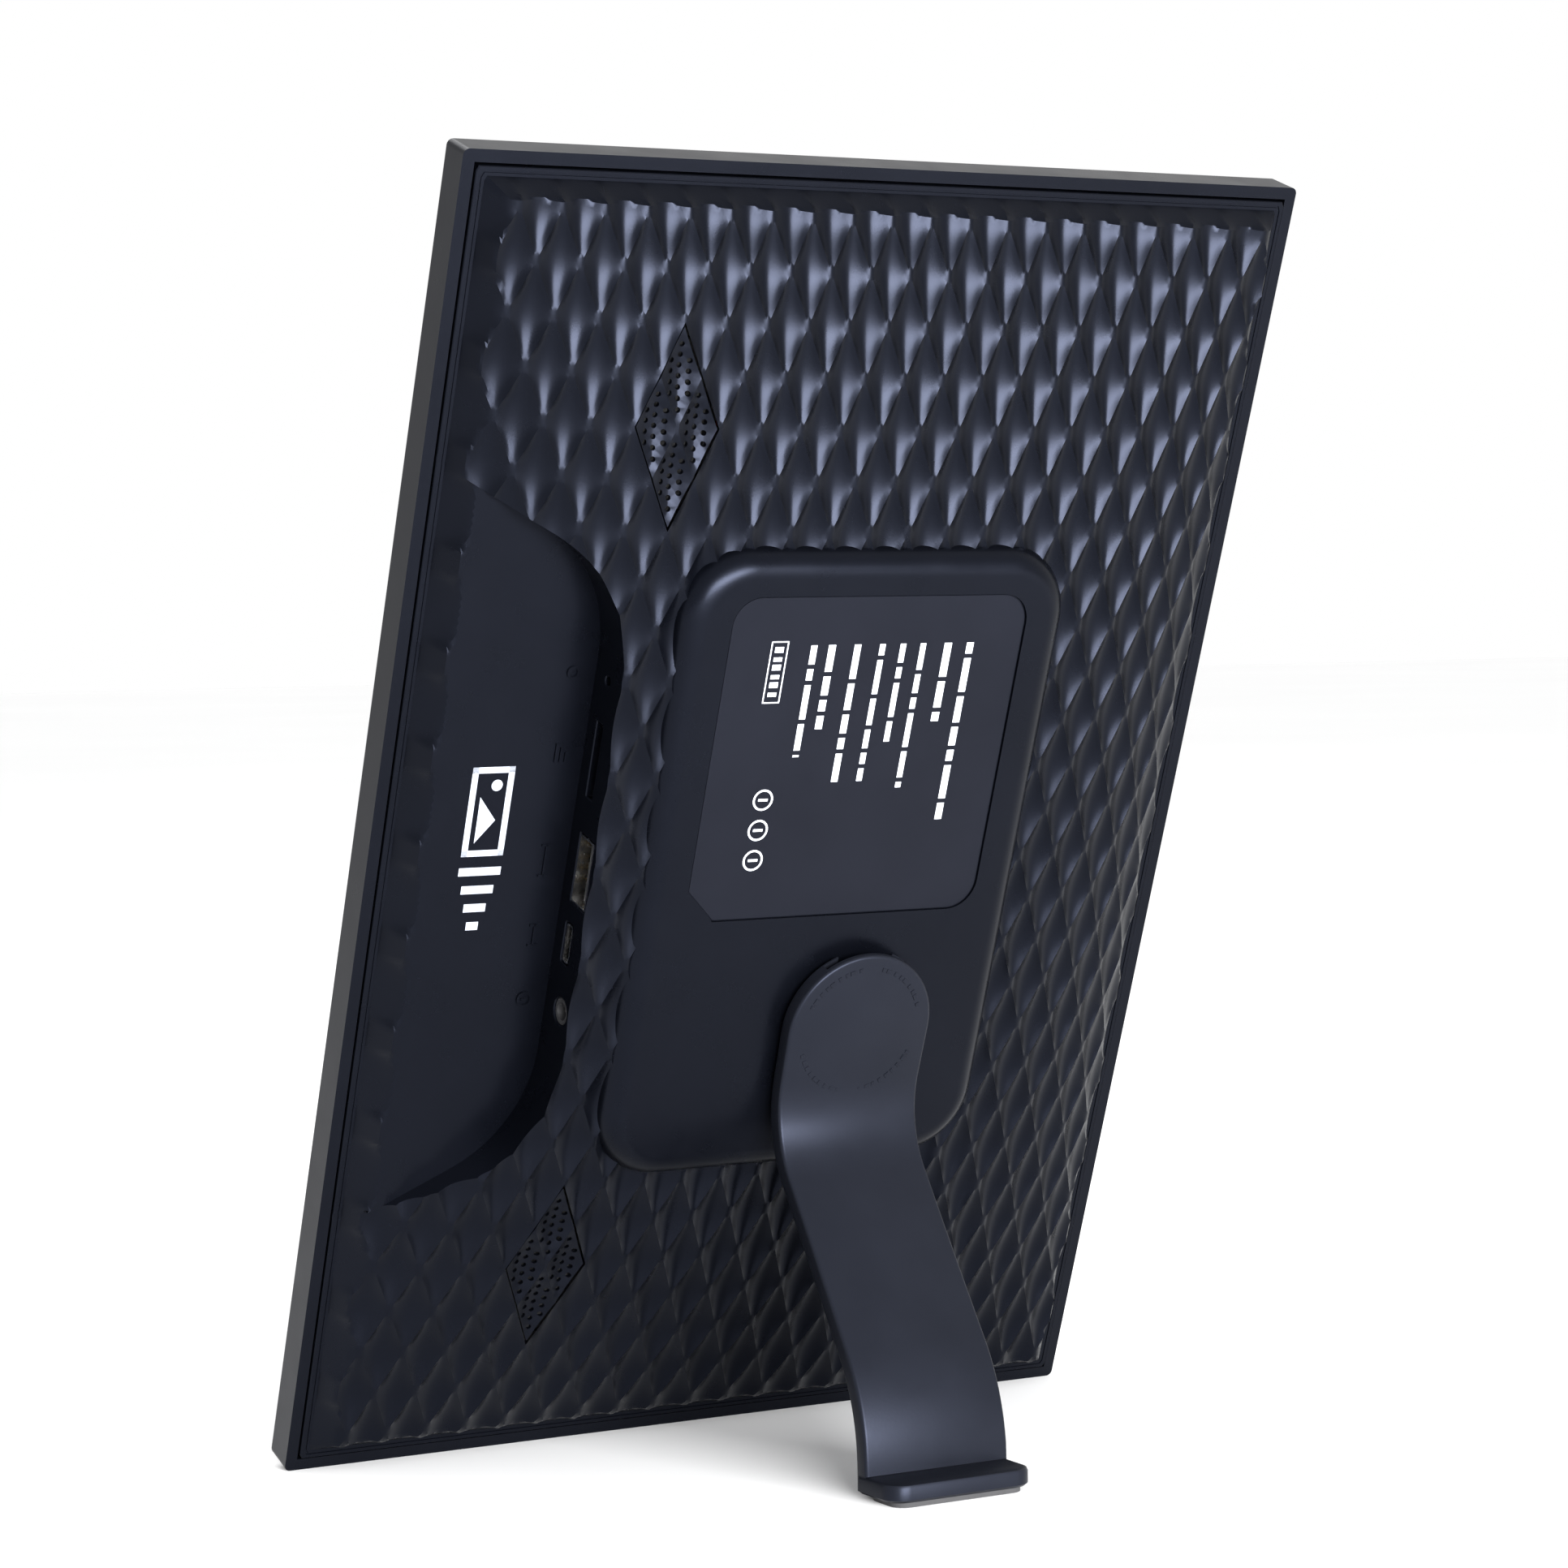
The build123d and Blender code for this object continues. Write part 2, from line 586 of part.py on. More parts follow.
CAN_SIDE = 17.0
CAN_H = 2.2
CAN_T = 0.3
with BuildPart() as shield_can:
    with BuildSketch(at(*PROCESSOR_SPOT, BOARD_W)):
        Rectangle(CAN_SIDE, CAN_SIDE)
    extrude(amount=CAN_H)
    with BuildSketch(at(*PROCESSOR_SPOT, BOARD_W)):
        Rectangle(CAN_SIDE - 2 * CAN_T, CAN_SIDE - 2 * CAN_T)
    extrude(amount=CAN_H - CAN_T, mode=Mode.SUBTRACT)
save(shield_can, "shield_can")

# ---------------------------------------------------------------- connectors in the bay wall
SOCKET_U = BAY_WALL_U + SHELL + 0.1         # just inside the bay wall
USB_A_SHELL = (13.1, 5.7)
USB_A_HOLE = (12.5, 5.12)
USB_A_DEPTH = 14.0
CONTACT_PLACES = [(0, -3.5), (0, -1.0), (0, 1.0), (0, 3.5)]
MICRO_SHELL = (7.5, 2.45)
MICRO_HOLE = (6.9, 1.85)
MICRO_DEPTH = 5.4
JACK_BODY = (7.0, 5.0)
JACK_DEPTH = 9.0
JACK_NOSE_R = 2.5
JACK_HOLE_R = 1.75
JACK_PIN_R = 0.65
CARD_BODY = (14.0, 1.9)
CARD_SLOT = (11.4, 1.2)
CARD_DEPTH = 14.5
SWITCH_U = BAY_WALL_U + 4.4
SWITCH_BODY = (4.7, 2.7)
SWITCH_DEPTH = 3.4
PLUNGER = (1.7, 0.9)
PLUNGER_GAP = 0.1
PLUNGER_LENGTH = 3.0

with BuildPart() as usb_a_port:
    with BuildSketch(across(BAY_WALL_U + 0.2, PORT_V["usb_a"], USB_A_W)):
        Rectangle(*USB_A_SHELL)
    extrude(amount=USB_A_DEPTH)
    with BuildSketch(across(BAY_WALL_U + 0.2, PORT_V["usb_a"], USB_A_W)):
        Rectangle(*USB_A_HOLE)
    extrude(amount=USB_A_DEPTH - 0.4, mode=Mode.SUBTRACT)
save(usb_a_port, "usb_a_port")

with BuildPart() as usb_a_tongue:
    with BuildSketch(across(BAY_WALL_U + 1.2, PORT_V["usb_a"], USB_A_W + 1.0)):
        Rectangle(11.1, 1.84)
    extrude(amount=USB_A_DEPTH - 1.5)
save(usb_a_tongue, "usb_a_tongue")

with BuildPart() as usb_a_contacts:
    with BuildSketch(at(BAY_WALL_U + 5.6, PORT_V["usb_a"], USB_A_W + 0.08)):
        with Locations(*CONTACT_PLACES):
            Rectangle(7.4, 1.0)
    extrude(amount=-0.15)
save(usb_a_contacts, "usb_a_contacts")

with BuildPart() as micro_usb_port:
    with BuildSketch(across(BAY_WALL_U + 0.3, PORT_V["micro_usb"], MICRO_W)):
        RectangleRounded(*MICRO_SHELL, 0.7)
    extrude(amount=MICRO_DEPTH)
    with BuildSketch(across(BAY_WALL_U + 0.3, PORT_V["micro_usb"], MICRO_W)):
        RectangleRounded(*MICRO_HOLE, 0.5)
    extrude(amount=MICRO_DEPTH - 0.4, mode=Mode.SUBTRACT)
save(micro_usb_port, "micro_usb_port")

with BuildPart() as micro_usb_tongue:
    with BuildSketch(across(BAY_WALL_U + 1.3, PORT_V["micro_usb"], MICRO_W + 0.35)):
        Rectangle(3.7, 0.6)
    extrude(amount=MICRO_DEPTH - 1.4)
save(micro_usb_tongue, "micro_usb_tongue")

with BuildPart() as dc_jack:
    with BuildSketch(across(SOCKET_U, PORT_V["power"], POWER_W)):
        Rectangle(*JACK_BODY)
    extrude(amount=JACK_DEPTH)
    with BuildSketch(across(BAY_WALL_U + 0.4, PORT_V["power"], POWER_W)):
        Circle(JACK_NOSE_R)
    extrude(amount=SOCKET_U - BAY_WALL_U - 0.3)
    with BuildSketch(across(BAY_WALL_U + 0.4, PORT_V["power"], POWER_W)):
        Circle(JACK_HOLE_R)
    extrude(amount=JACK_DEPTH + 0.5, mode=Mode.SUBTRACT)
save(dc_jack, "dc_jack")

with BuildPart() as dc_jack_pin:
    with BuildSketch(across(BAY_WALL_U + 1.4, PORT_V["power"], POWER_W)):
        Circle(JACK_PIN_R)
    extrude(amount=JACK_DEPTH - 0.5)
    fillet(dc_jack_pin.edges().group_by(Axis.X)[-1], 0.3)
save(dc_jack_pin, "dc_jack_pin")

with BuildPart() as card_socket:
    with BuildSketch(across(SOCKET_U, PORT_V["card"], CARD_W)):
        Rectangle(*CARD_BODY)
    extrude(amount=CARD_DEPTH)
    with BuildSketch(across(SOCKET_U, PORT_V["card"], CARD_W - 0.1)):
        Rectangle(*CARD_SLOT)
    extrude(amount=CARD_DEPTH - 0.5, mode=Mode.SUBTRACT)
save(card_socket, "card_socket")

with BuildPart() as reset_switch:
    with BuildSketch(across(SWITCH_U, PORT_V["reset"], RESET_W)):
        Rectangle(*SWITCH_BODY)
    extrude(amount=SWITCH_DEPTH)
    with BuildSketch(across(SWITCH_U, PORT_V["reset"], RESET_W)):
        Rectangle(PLUNGER[0] + 2 * PLUNGER_GAP, PLUNGER[1] + 2 * PLUNGER_GAP)
    extrude(amount=1.6, mode=Mode.SUBTRACT)
save(reset_switch, "reset_switch")

with BuildPart() as reset_button:
    with BuildSketch(across(BAY_WALL_U + 2.6, PORT_V["reset"], RESET_W)):
        Rectangle(*PLUNGER)
    extrude(amount=PLUNGER_LENGTH)
save(reset_button, "reset_button")


def ribbon(name, u, v, width, points):
    """A flat flexible cable, drawn as a thin folded strip across the panel."""
    with BuildPart() as strip:
        with BuildSketch(across(u, v)):
            with BuildLine():
                FilletPolyline(*points, radius=1.0)
                offset(amount=0.15, side=Side.BOTH)
            make_face()
        extrude(amount=width / 2, both=True)
    save(strip, name)


PAN_BACK = PAN_W + PAN_T
UNDER_BOARD_W = BOARD_W - BOARD_T - 0.3
ON_PAN_W = PAN_BACK + 0.3
BOARD_EDGE_V = 84.0
FOLD_V = 80.0
ribbon("lcd_flex", 68.0, 0, 20.0,
       [(99.0, UNDER_BOARD_W), (BOARD_EDGE_V, UNDER_BOARD_W), (FOLD_V, ON_PAN_W), (60.0, ON_PAN_W)])
ribbon("touch_flex", 44.5, 0, 7.0,
       [(96.0, UNDER_BOARD_W), (BOARD_EDGE_V, UNDER_BOARD_W), (FOLD_V, ON_PAN_W), (40.0, ON_PAN_W)])

with BuildPart() as wifi_antenna:
    with BuildSketch(at(140, 205, PAN_BACK)):
        RectangleRounded(10, 38, 1)
    extrude(amount=0.3)
save(wifi_antenna, "wifi_antenna")

with BuildPart() as antenna_lead:
    with BuildLine():
        coax = FilletPolyline(
            panel.from_local_coords((81.5, 162.0, BOARD_W + 0.8)),
            panel.from_local_coords((96.0, 168.0, BOARD_W + 0.8)),
            panel.from_local_coords((128.0, 190.0, PAN_BACK + 0.9)),
            panel.from_local_coords((140.0, 190.0, PAN_BACK + 0.9)),
            radius=6,
        )
    with BuildSketch(Plane(origin=coax @ 0, z_dir=coax % 0)):
        Circle(0.55)
    sweep()
save(antenna_lead, "antenna_lead")

# ---------------------------------------------------------------- swivelling stand
HUB_GAP = 0.05
DISC_T = 0.7
NECK = (11.6, 16.0)
TEE = (17.6, 16.0)
LEG_BACK_W = LEG_TOP_W - LEG_T
SLOT_LOW = LEG_BACK_W + 0.85
SLOT_HIGH = SLOT_LOW + 1.5
TEE_T = 1.3
WASHER_T = 0.5
RETAINER_T = 1.2
RETAINER_R = 11.0
RETAINER_W = PLATE_W - WASHER_T - 0.1 - RETAINER_T
HUB_SCREW_R = 1.25

with BuildPart() as hub_plate:
    with BuildSketch(at(HUB_U, HUB_V, PLATE_W)):
        RectangleRounded(PLATE_HOLES[0] + 8, PLATE_HOLES[1] + 8, 3)
        Circle(HUB_SHAFT_R + 0.3, mode=Mode.SUBTRACT)
        with GridLocations(*PLATE_HOLES, 2, 2):
            Circle(SCREW_HOLE_R, mode=Mode.SUBTRACT)
    extrude(amount=PLATE_T)
save(hub_plate, "hub_plate")
screws("hub_plate_screws", PLATE_SPOTS, PLATE_W, 4.0, sign=1)

with BuildPart() as swivel_hub:
    with BuildSketch(at(HUB_U, HUB_V, RETAINER_W + RETAINER_T)):
        Circle(HUB_SHAFT_R)
    extrude(amount=PLATEAU_W + HUB_GAP - RETAINER_W - RETAINER_T)
    with BuildSketch(at(HUB_U, HUB_V, PLATEAU_W + HUB_GAP)):
        Circle(HUB_DISC_R)
    extrude(amount=DISC_T)
    with BuildSketch(at(HUB_U, HUB_V, PLATEAU_W + HUB_GAP)):
        Rectangle(*NECK)
    extrude(amount=SLOT_LOW + 0.1 - PLATEAU_W - HUB_GAP)
    with BuildSketch(at(HUB_U, HUB_V, SLOT_LOW + 0.1)):
        Rectangle(*TEE)
    extrude(amount=TEE_T)
    with BuildSketch(at(HUB_U, HUB_V, RETAINER_W + RETAINER_T)):
        Circle(HUB_SCREW_R)
    extrude(amount=6, mode=Mode.SUBTRACT)
save(swivel_hub, "swivel_hub")

with BuildPart() as hub_washer:
    with BuildSketch(at(HUB_U, HUB_V, PLATE_W - 0.05 - WASHER_T)):
        Circle(RETAINER_R)
        Circle(HUB_SHAFT_R + 0.3, mode=Mode.SUBTRACT)
    extrude(amount=WASHER_T)
save(hub_washer, "hub_washer")

with BuildPart() as hub_retainer:
    with BuildSketch(at(HUB_U, HUB_V, RETAINER_W)):
        Circle(RETAINER_R)
        Circle(HUB_SCREW_R + 0.35, mode=Mode.SUBTRACT)
    extrude(amount=RETAINER_T)
save(hub_retainer, "hub_retainer")
screws("hub_screw", [(HUB_U, HUB_V)], RETAINER_W, 6.0, head_r=2.6, shank_r=HUB_SCREW_R, sign=1)

# The leg is drawn in side view, with distances behind the rear bottom edge and heights.
LEAN_SIN = sin(radians(LEAN))
LEAN_COS = cos(radians(LEAN))
SLOPE_TAN = tan(radians(LEG_SLOPE))
KNEE_V = 76.6
HEAD_TOP_V = HUB_V + LEG_HALF


def side_point(v, w):
    """A point of the panel frame in the side view."""
    return (v * LEAN_SIN + w * LEAN_COS, v * LEAN_COS - w * LEAN_SIN)


head_end = side_point(HEAD_TOP_V + 3, LEG_TOP_W)
knee = side_point(KNEE_V, LEG_TOP_W)
ankle = (FOOT_REACH, knee[1] - (FOOT_REACH - knee[0]) / SLOPE_TAN)
sole = (FOOT_REACH, PAD_T)
KNEE_RADIUS = 19.0
ANKLE_RADIUS = 38.0
FOOT_CORNER = 4.0

with BuildPart() as stand_leg:
    with BuildSketch(side):
        with BuildLine():
            face_line = FilletPolyline(head_end, knee, ankle, sole, radius=[KNEE_RADIUS, ANKLE_RADIUS])
            offset(face_line, amount=LEG_T, side=Side.RIGHT)
        make_face()
    extrude(amount=LEG_HALF + 2, both=True)
    with BuildSketch(at(HUB_U, HUB_V, 15)):
        with BuildLine():
            head_arc = ThreePointArc((-LEG_HALF, 0), (0, LEG_HALF), (LEG_HALF, 0))
            left = ThreePointArc((-LEG_HALF, 0), (-LEG_WAIST, -40), (-LEG_HALF, -85))
            right = ThreePointArc((LEG_HALF, 0), (LEG_WAIST, -40), (LEG_HALF, -85))
            Line(left @ 1, right @ 1)
        make_face()
    extrude(amount=75, mode=Mode.INTERSECT)
    with BuildSketch(Plane(origin=(MID_U - HUB_U, SHIFT_Y, PAD_T), x_dir=(-1, 0, 0), z_dir=(0, 0, 1))):
        with BuildLine():
            heel = FOOT_REACH - LEG_T + 1
            half = LEG_HALF + 0.1
            Polyline((-half, -heel), (half, -heel), (half, -FOOT_TIP + FOOT_CORNER))
            RadiusArc((half, -FOOT_TIP + FOOT_CORNER), (half - FOOT_CORNER, -FOOT_TIP), FOOT_CORNER)
            Line((half - FOOT_CORNER, -FOOT_TIP), (-half + FOOT_CORNER, -FOOT_TIP))
            RadiusArc((-half + FOOT_CORNER, -FOOT_TIP), (-half, -FOOT_TIP + FOOT_CORNER), FOOT_CORNER)
            Line((-half, -FOOT_TIP + FOOT_CORNER), (-half, -heel))
        make_face()
    extrude(amount=FOOT_TOP - PAD_T)
    # slot for the hub's tee, open at the top of the head
    slot_low_v = -TEE[1] / 2 - 0.05
    slot_high_v = LEG_HALF + 4
    slot_mid = (slot_low_v + slot_high_v) / 2
    slot_len = slot_high_v - slot_low_v
    with BuildSketch(at(HUB_U, HUB_V + slot_mid, LEG_BACK_W - 1)):
        Rectangle(NECK[0] + 0.2, slot_len)
    extrude(amount=SLOT_LOW - LEG_BACK_W + 1.2, mode=Mode.SUBTRACT)
    with BuildSketch(at(HUB_U, HUB_V + slot_mid, SLOT_LOW)):
        Rectangle(TEE[0] + 0.2, slot_len)
    extrude(amount=SLOT_HIGH - SLOT_LOW, mode=Mode.SUBTRACT)
save(stand_leg, "stand_leg")

with BuildPart() as foot_pad:
    pad_mid_y = SHIFT_Y + (FOOT_REACH - LEG_T + FOOT_TIP) / 2 + 0.4
    pad_depth = FOOT_TIP - FOOT_REACH + LEG_T - 2.6
    with BuildSketch(Plane(origin=(MID_U - HUB_U, pad_mid_y, 0), z_dir=(0, 0, 1))):
        RectangleRounded(2 * LEG_HALF - 3, pad_depth, 3)
    extrude(amount=PAD_T)
save(foot_pad, "foot_pad")
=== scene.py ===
"""Looks of the digital photo frame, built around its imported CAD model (metres, +Z up).

The case leans back on its leg. Shapes on it are drawn in the leaning panel frame, in
millimetres: u runs across the back (to the right, seen from behind), v runs up the panel
and w comes out of the back, all from the rear bottom edge of the rim.
"""
import bpy
import bmesh
import json
import numpy as np
from math import atan2, cos, pi, radians, sin, tan
from mathutils import Matrix, Vector


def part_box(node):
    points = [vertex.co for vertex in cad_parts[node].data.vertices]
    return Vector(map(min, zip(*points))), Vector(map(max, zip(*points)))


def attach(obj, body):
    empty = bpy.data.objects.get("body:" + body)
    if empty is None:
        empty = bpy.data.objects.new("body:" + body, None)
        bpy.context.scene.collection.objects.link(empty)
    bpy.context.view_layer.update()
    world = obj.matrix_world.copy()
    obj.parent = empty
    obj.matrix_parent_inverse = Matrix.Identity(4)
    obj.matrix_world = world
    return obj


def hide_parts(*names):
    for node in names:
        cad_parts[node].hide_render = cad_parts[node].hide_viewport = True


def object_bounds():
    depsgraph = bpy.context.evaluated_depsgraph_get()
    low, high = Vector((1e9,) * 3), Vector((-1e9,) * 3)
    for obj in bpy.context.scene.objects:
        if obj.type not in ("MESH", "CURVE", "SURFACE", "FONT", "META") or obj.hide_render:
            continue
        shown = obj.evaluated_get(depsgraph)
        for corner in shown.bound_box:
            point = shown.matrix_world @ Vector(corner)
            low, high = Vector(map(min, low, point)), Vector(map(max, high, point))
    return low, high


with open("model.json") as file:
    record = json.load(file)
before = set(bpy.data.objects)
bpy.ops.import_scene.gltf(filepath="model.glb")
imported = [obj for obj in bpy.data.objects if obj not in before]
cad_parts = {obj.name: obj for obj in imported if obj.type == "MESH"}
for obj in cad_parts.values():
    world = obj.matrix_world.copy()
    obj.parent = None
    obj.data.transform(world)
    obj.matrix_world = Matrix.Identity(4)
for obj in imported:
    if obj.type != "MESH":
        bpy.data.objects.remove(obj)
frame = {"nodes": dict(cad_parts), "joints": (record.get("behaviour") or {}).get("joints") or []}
cad_lo, cad_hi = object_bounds()

# ---------------------------------------------------------------- panel frame, from the CAD
MM = 0.001
RIM_DEPTH = 7.5
swivel = next(j for j in frame["joints"] if j["name"] == "stand_swivel")
LEAN = atan2(swivel["axis"][2], -swivel["axis"][1])
case_lo, case_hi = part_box("front_bezel")
WIDTH = (case_hi.x - case_lo.x) / MM
HEIGHT = ((case_hi.z - case_lo.z) / MM - RIM_DEPTH * sin(LEAN)) / cos(LEAN)
MID_U = WIDTH / 2
MID_V = HEIGHT / 2
ORIGIN = np.array((case_hi.x, case_lo.y + RIM_DEPTH * MM * cos(LEAN), case_lo.z))
AXES = np.array(((-1, 0, 0), (0, sin(LEAN), cos(LEAN)), (0, cos(LEAN), -sin(LEAN))))


def place(points):
    """World positions in metres of panel-frame points in millimetres."""
    return ORIGIN + np.asarray(points, float) @ AXES * MM


def panel_point(world):
    """The panel-frame point of a world position."""
    return (np.array(world) - ORIGIN) @ AXES.T / MM


HUB_U, HUB_V, _ = panel_point(swivel["pos_m"])

# ---------------------------------------------------------------- cover dimensions
FLANK_FOOT = 4.3
FLANK_HEAD = 7.2
LIP_W = 0.3
EDGE_W = 5.0
DOME_RISE = 13.3
DOME_SAG = 3.0
DOME_POWER_U = 6.2
DOME_POWER_V = 2.6
QUILT = (8.2, 18.4)
QUILT_V = 129.1
SCOOP = 1.35            # depth of one scooped diamond
SCOOP_POWER = 0.85
QUILT_STEPS = 12        # mesh steps along one side of a diamond
SNAP_SHARE = 0.3        # of a mesh step, within which points move on to a cutting line
GRID_MARGIN = 4.0       # how far the mesh reaches past the head of the flank before it is cut
SCALLOP = 1.3           # how far the diamonds at the edge bite into the flank
SCALLOP_HALF = 6.4
ARCH = 0.9
ARCH_HALF = 3.8
BAY_WALL_U = 37.2
BAY_FLOOR_W = 5.5
BAY_START = (-20.0, 43.3)
BAY_KNEE_V = 72.7
BAY_RADIUS = 27.0
PLATEAU = (82.0, 125.0)
PLATEAU_W = 18.8
PLATEAU_CORNER = 14.0
PLATEAU_ROUND = 5.0
PLATEAU_FOOT_W = 9.0    # how deep the plateau's wall goes into the quilt
PLATEAU_OVERLAP = 2.5   # how far the quilt runs in under the plateau
HUB_HOLE = (7.3, 4)     # radius and depth
LABEL_RECESS = 0.49
GRILLE_CELL = 5.5, 4.5  # diamonds from the middle of the quilt to the middle of a grille


# ---------------------------------------------------------------- drawing helpers
def rounded_path(corners, radii, step=1.0):
    """Points along a polyline whose inner corners are rounded to these radii."""
    corners = [np.array(c, float) for c in corners]
    path = [corners[0]]
    for before, corner, after, radius in zip(corners, corners[1:], corners[2:], radii):
        d_in = (before - corner) / np.linalg.norm(before - corner)
        d_out = (after - corner) / np.linalg.norm(after - corner)
        half = np.arccos(np.clip(d_in @ d_out, -1, 1)) / 2
        reach = radius / np.tan(half)
        centre = corner + (d_in + d_out) / np.linalg.norm(d_in + d_out) * radius / np.sin(half)
        first = corner + d_in * reach - centre
        last = corner + d_out * reach - centre
        turn = atan2(first[0] * last[1] - first[1] * last[0], first @ last)
        count = max(2, int(abs(turn) * radius / step))
        for k in range(count + 1):
            a = turn * k / count
            path.append(centre + np.array((first[0] * cos(a) - first[1] * sin(a),
                                           first[0] * sin(a) + first[1] * cos(a))))
    path.append(corners[-1])
    return np.array(path)


def rounded_box(width, height, radius, arc_steps=8, centre=(0.0, 0.0)):
    """Closed outline of a rounded rectangle, counter-clockwise."""
    points = []
    for corner, (sx, sy) in enumerate(((1, 1), (-1, 1), (-1, -1), (1, -1))):
        for k in range(arc_steps + 1):
            a = (corner + k / arc_steps) * pi / 2
            points.append((centre[0] + sx * (width / 2 - radius) + radius * cos(a),
                           centre[1] + sy * (height / 2 - radius) + radius * sin(a)))
    return points


def circle(radius, steps=24, centre=(0.0, 0.0)):
    """Closed outline of a circle, counter-clockwise."""
    return [(centre[0] + radius * cos(2 * pi * k / steps),
             centre[1] + radius * sin(2 * pi * k / steps)) for k in range(steps)]


def make(name, points, faces, body, material, replaces=(), sharp=32.0, world=False):
    """A mesh piece from panel-frame points, riding on a CAD body."""
    mesh = bpy.data.meshes.new(name)
    mesh.from_pydata([tuple(p) for p in (points if world else place(points))], [], faces)
    bm = bmesh.new()
    bm.from_mesh(mesh)
    bmesh.ops.remove_doubles(bm, verts=bm.verts, dist=0.2e-5)
    bmesh.ops.dissolve_degenerate(bm, edges=bm.edges, dist=1e-7)
    bmesh.ops.recalc_face_normals(bm, faces=bm.faces)
    bm.to_mesh(mesh)
    bm.free()
    mesh.shade_smooth()
    mesh.set_sharp_from_angle(angle=radians(sharp))
    piece = bpy.data.objects.new(name, mesh)
    bpy.context.scene.collection.objects.link(piece)
    piece.data.materials.append(material)
    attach(piece, body)
    if replaces:
        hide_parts(*replaces)
    return piece


class Shape:
    """Points and faces collected for one piece."""

    def __init__(self):
        self.points = []
        self.faces = []

    def add(self, points, faces):
        base = len(self.points)
        self.points.extend(tuple(p) for p in points)
        self.faces.extend(tuple(base + k for k in f) for f in faces)

    def bridge(self, rings, closed=True):
        """Quads between successive rings of points."""
        count = len(rings[0])
        points = [p for ring in rings for p in ring]
        faces = []
        for r in range(len(rings) - 1):
            for k in range(count if closed else count - 1):
                n = (k + 1) % count
                here, there = r * count, (r + 1) * count
                faces.append((here + k, here + n, there + n, there + k))
        self.add(points, faces)

    def cap(self, loops, lift):
        """A filled area bounded by flat loops, with lift(x, y) giving each point's place."""
        bm = bmesh.new()
        edges = []
        for loop in loops:
            verts = [bm.verts.new((x, y, 0)) for x, y in loop]
            for k, vert in enumerate(verts):
                edges.append(bm.edges.new((vert, verts[(k + 1) % len(verts)])))
        bmesh.ops.triangle_fill(bm, use_beauty=True, use_dissolve=False, edges=edges)
        bm.verts.index_update()
        points = [lift(v.co.x, v.co.y) for v in bm.verts]
        faces = [[v.index for v in f.verts] for f in bm.faces]
        bm.free()
        self.add(points, faces)

    def slab(self, outline, low, high, bevel=0.0):
        """A flat plate in the panel frame between two heights, with a bevelled upper edge."""
        middle = np.mean(outline, axis=0)

        def shrunk(amount):
            out = np.array(outline) - middle
            size = np.maximum(np.abs(out).max(axis=0), 1e-6)
            return out * (1 - amount / size) + middle

        rings = [[(x, y, low) for x, y in outline]]
        rings.append([(x, y, high - bevel) for x, y in outline])
        if bevel:
            rings.append([(x, y, high) for x, y in shrunk(bevel)])
        self.bridge(rings)
        top = [tuple(p) for p in (shrunk(bevel) if bevel else outline)]
        self.cap([top], lambda x, y: (x, y, high))


# ---------------------------------------------------------------- materials
def finish(name, colour, rough, metal=0.0, spread=0.12, rough_spread=0.06, blotch=0.02,
           grain=0.0004, bump=0.15, depth=0.00002, coat=0.0, gloss=0.5, tint=(1, 1, 1)):
    """A procedural finish: drifting colour and roughness, and a fine grain in the bump.

    blotch and grain are the sizes of the drift and of the grain, in metres."""
    material = bpy.data.materials.new(name)
    material.use_nodes = True
    tree = material.node_tree
    shader = tree.nodes["Principled BSDF"]
    shader.inputs["Metallic"].default_value = metal
    shader.inputs["Coat Weight"].default_value = coat
    shader.inputs["Coat Roughness"].default_value = 0.25
    shader.inputs["Specular IOR Level"].default_value = gloss
    shader.inputs["Specular Tint"].default_value = (*tint, 1)
    place_node = tree.nodes.new("ShaderNodeTexCoord")

    def noise(size, detail):
        node = tree.nodes.new("ShaderNodeTexNoise")
        node.inputs["Scale"].default_value = 1 / size
        node.inputs["Detail"].default_value = detail
        tree.links.new(place_node.outputs["Object"], node.inputs["Vector"])
        return node

    def ranged(source, low, high):
        node = tree.nodes.new("ShaderNodeMapRange")
        node.inputs["From Min"].default_value = 0.3
        node.inputs["From Max"].default_value = 0.7
        node.inputs["To Min"].default_value = low
        node.inputs["To Max"].default_value = high
        tree.links.new(source.outputs["Fac"], node.inputs["Value"])
        return node

    drift = noise(blotch, 3)
    mix = tree.nodes.new("ShaderNodeMix")
    mix.data_type = "RGBA"
    mix.inputs["A"].default_value = (*[c * (1 - spread) for c in colour], 1)
    mix.inputs["B"].default_value = (*[c * (1 + spread) for c in colour], 1)
    tree.links.new(ranged(drift, 0, 1).outputs["Result"], mix.inputs["Factor"])
    tree.links.new(mix.outputs["Result"], shader.inputs["Base Color"])
    wear = noise(blotch * 0.4, 5)
    rough_range = ranged(wear, max(rough - rough_spread, 0.02), min(rough + rough_spread, 1))
    tree.links.new(rough_range.outputs["Result"], shader.inputs["Roughness"])
    relief = tree.nodes.new("ShaderNodeBump")
    relief.inputs["Strength"].default_value = bump
    relief.inputs["Distance"].default_value = depth
    tree.links.new(noise(grain, 2).outputs["Fac"], relief.inputs["Height"])
    tree.links.new(relief.outputs["Normal"], shader.inputs["Normal"])
    return material


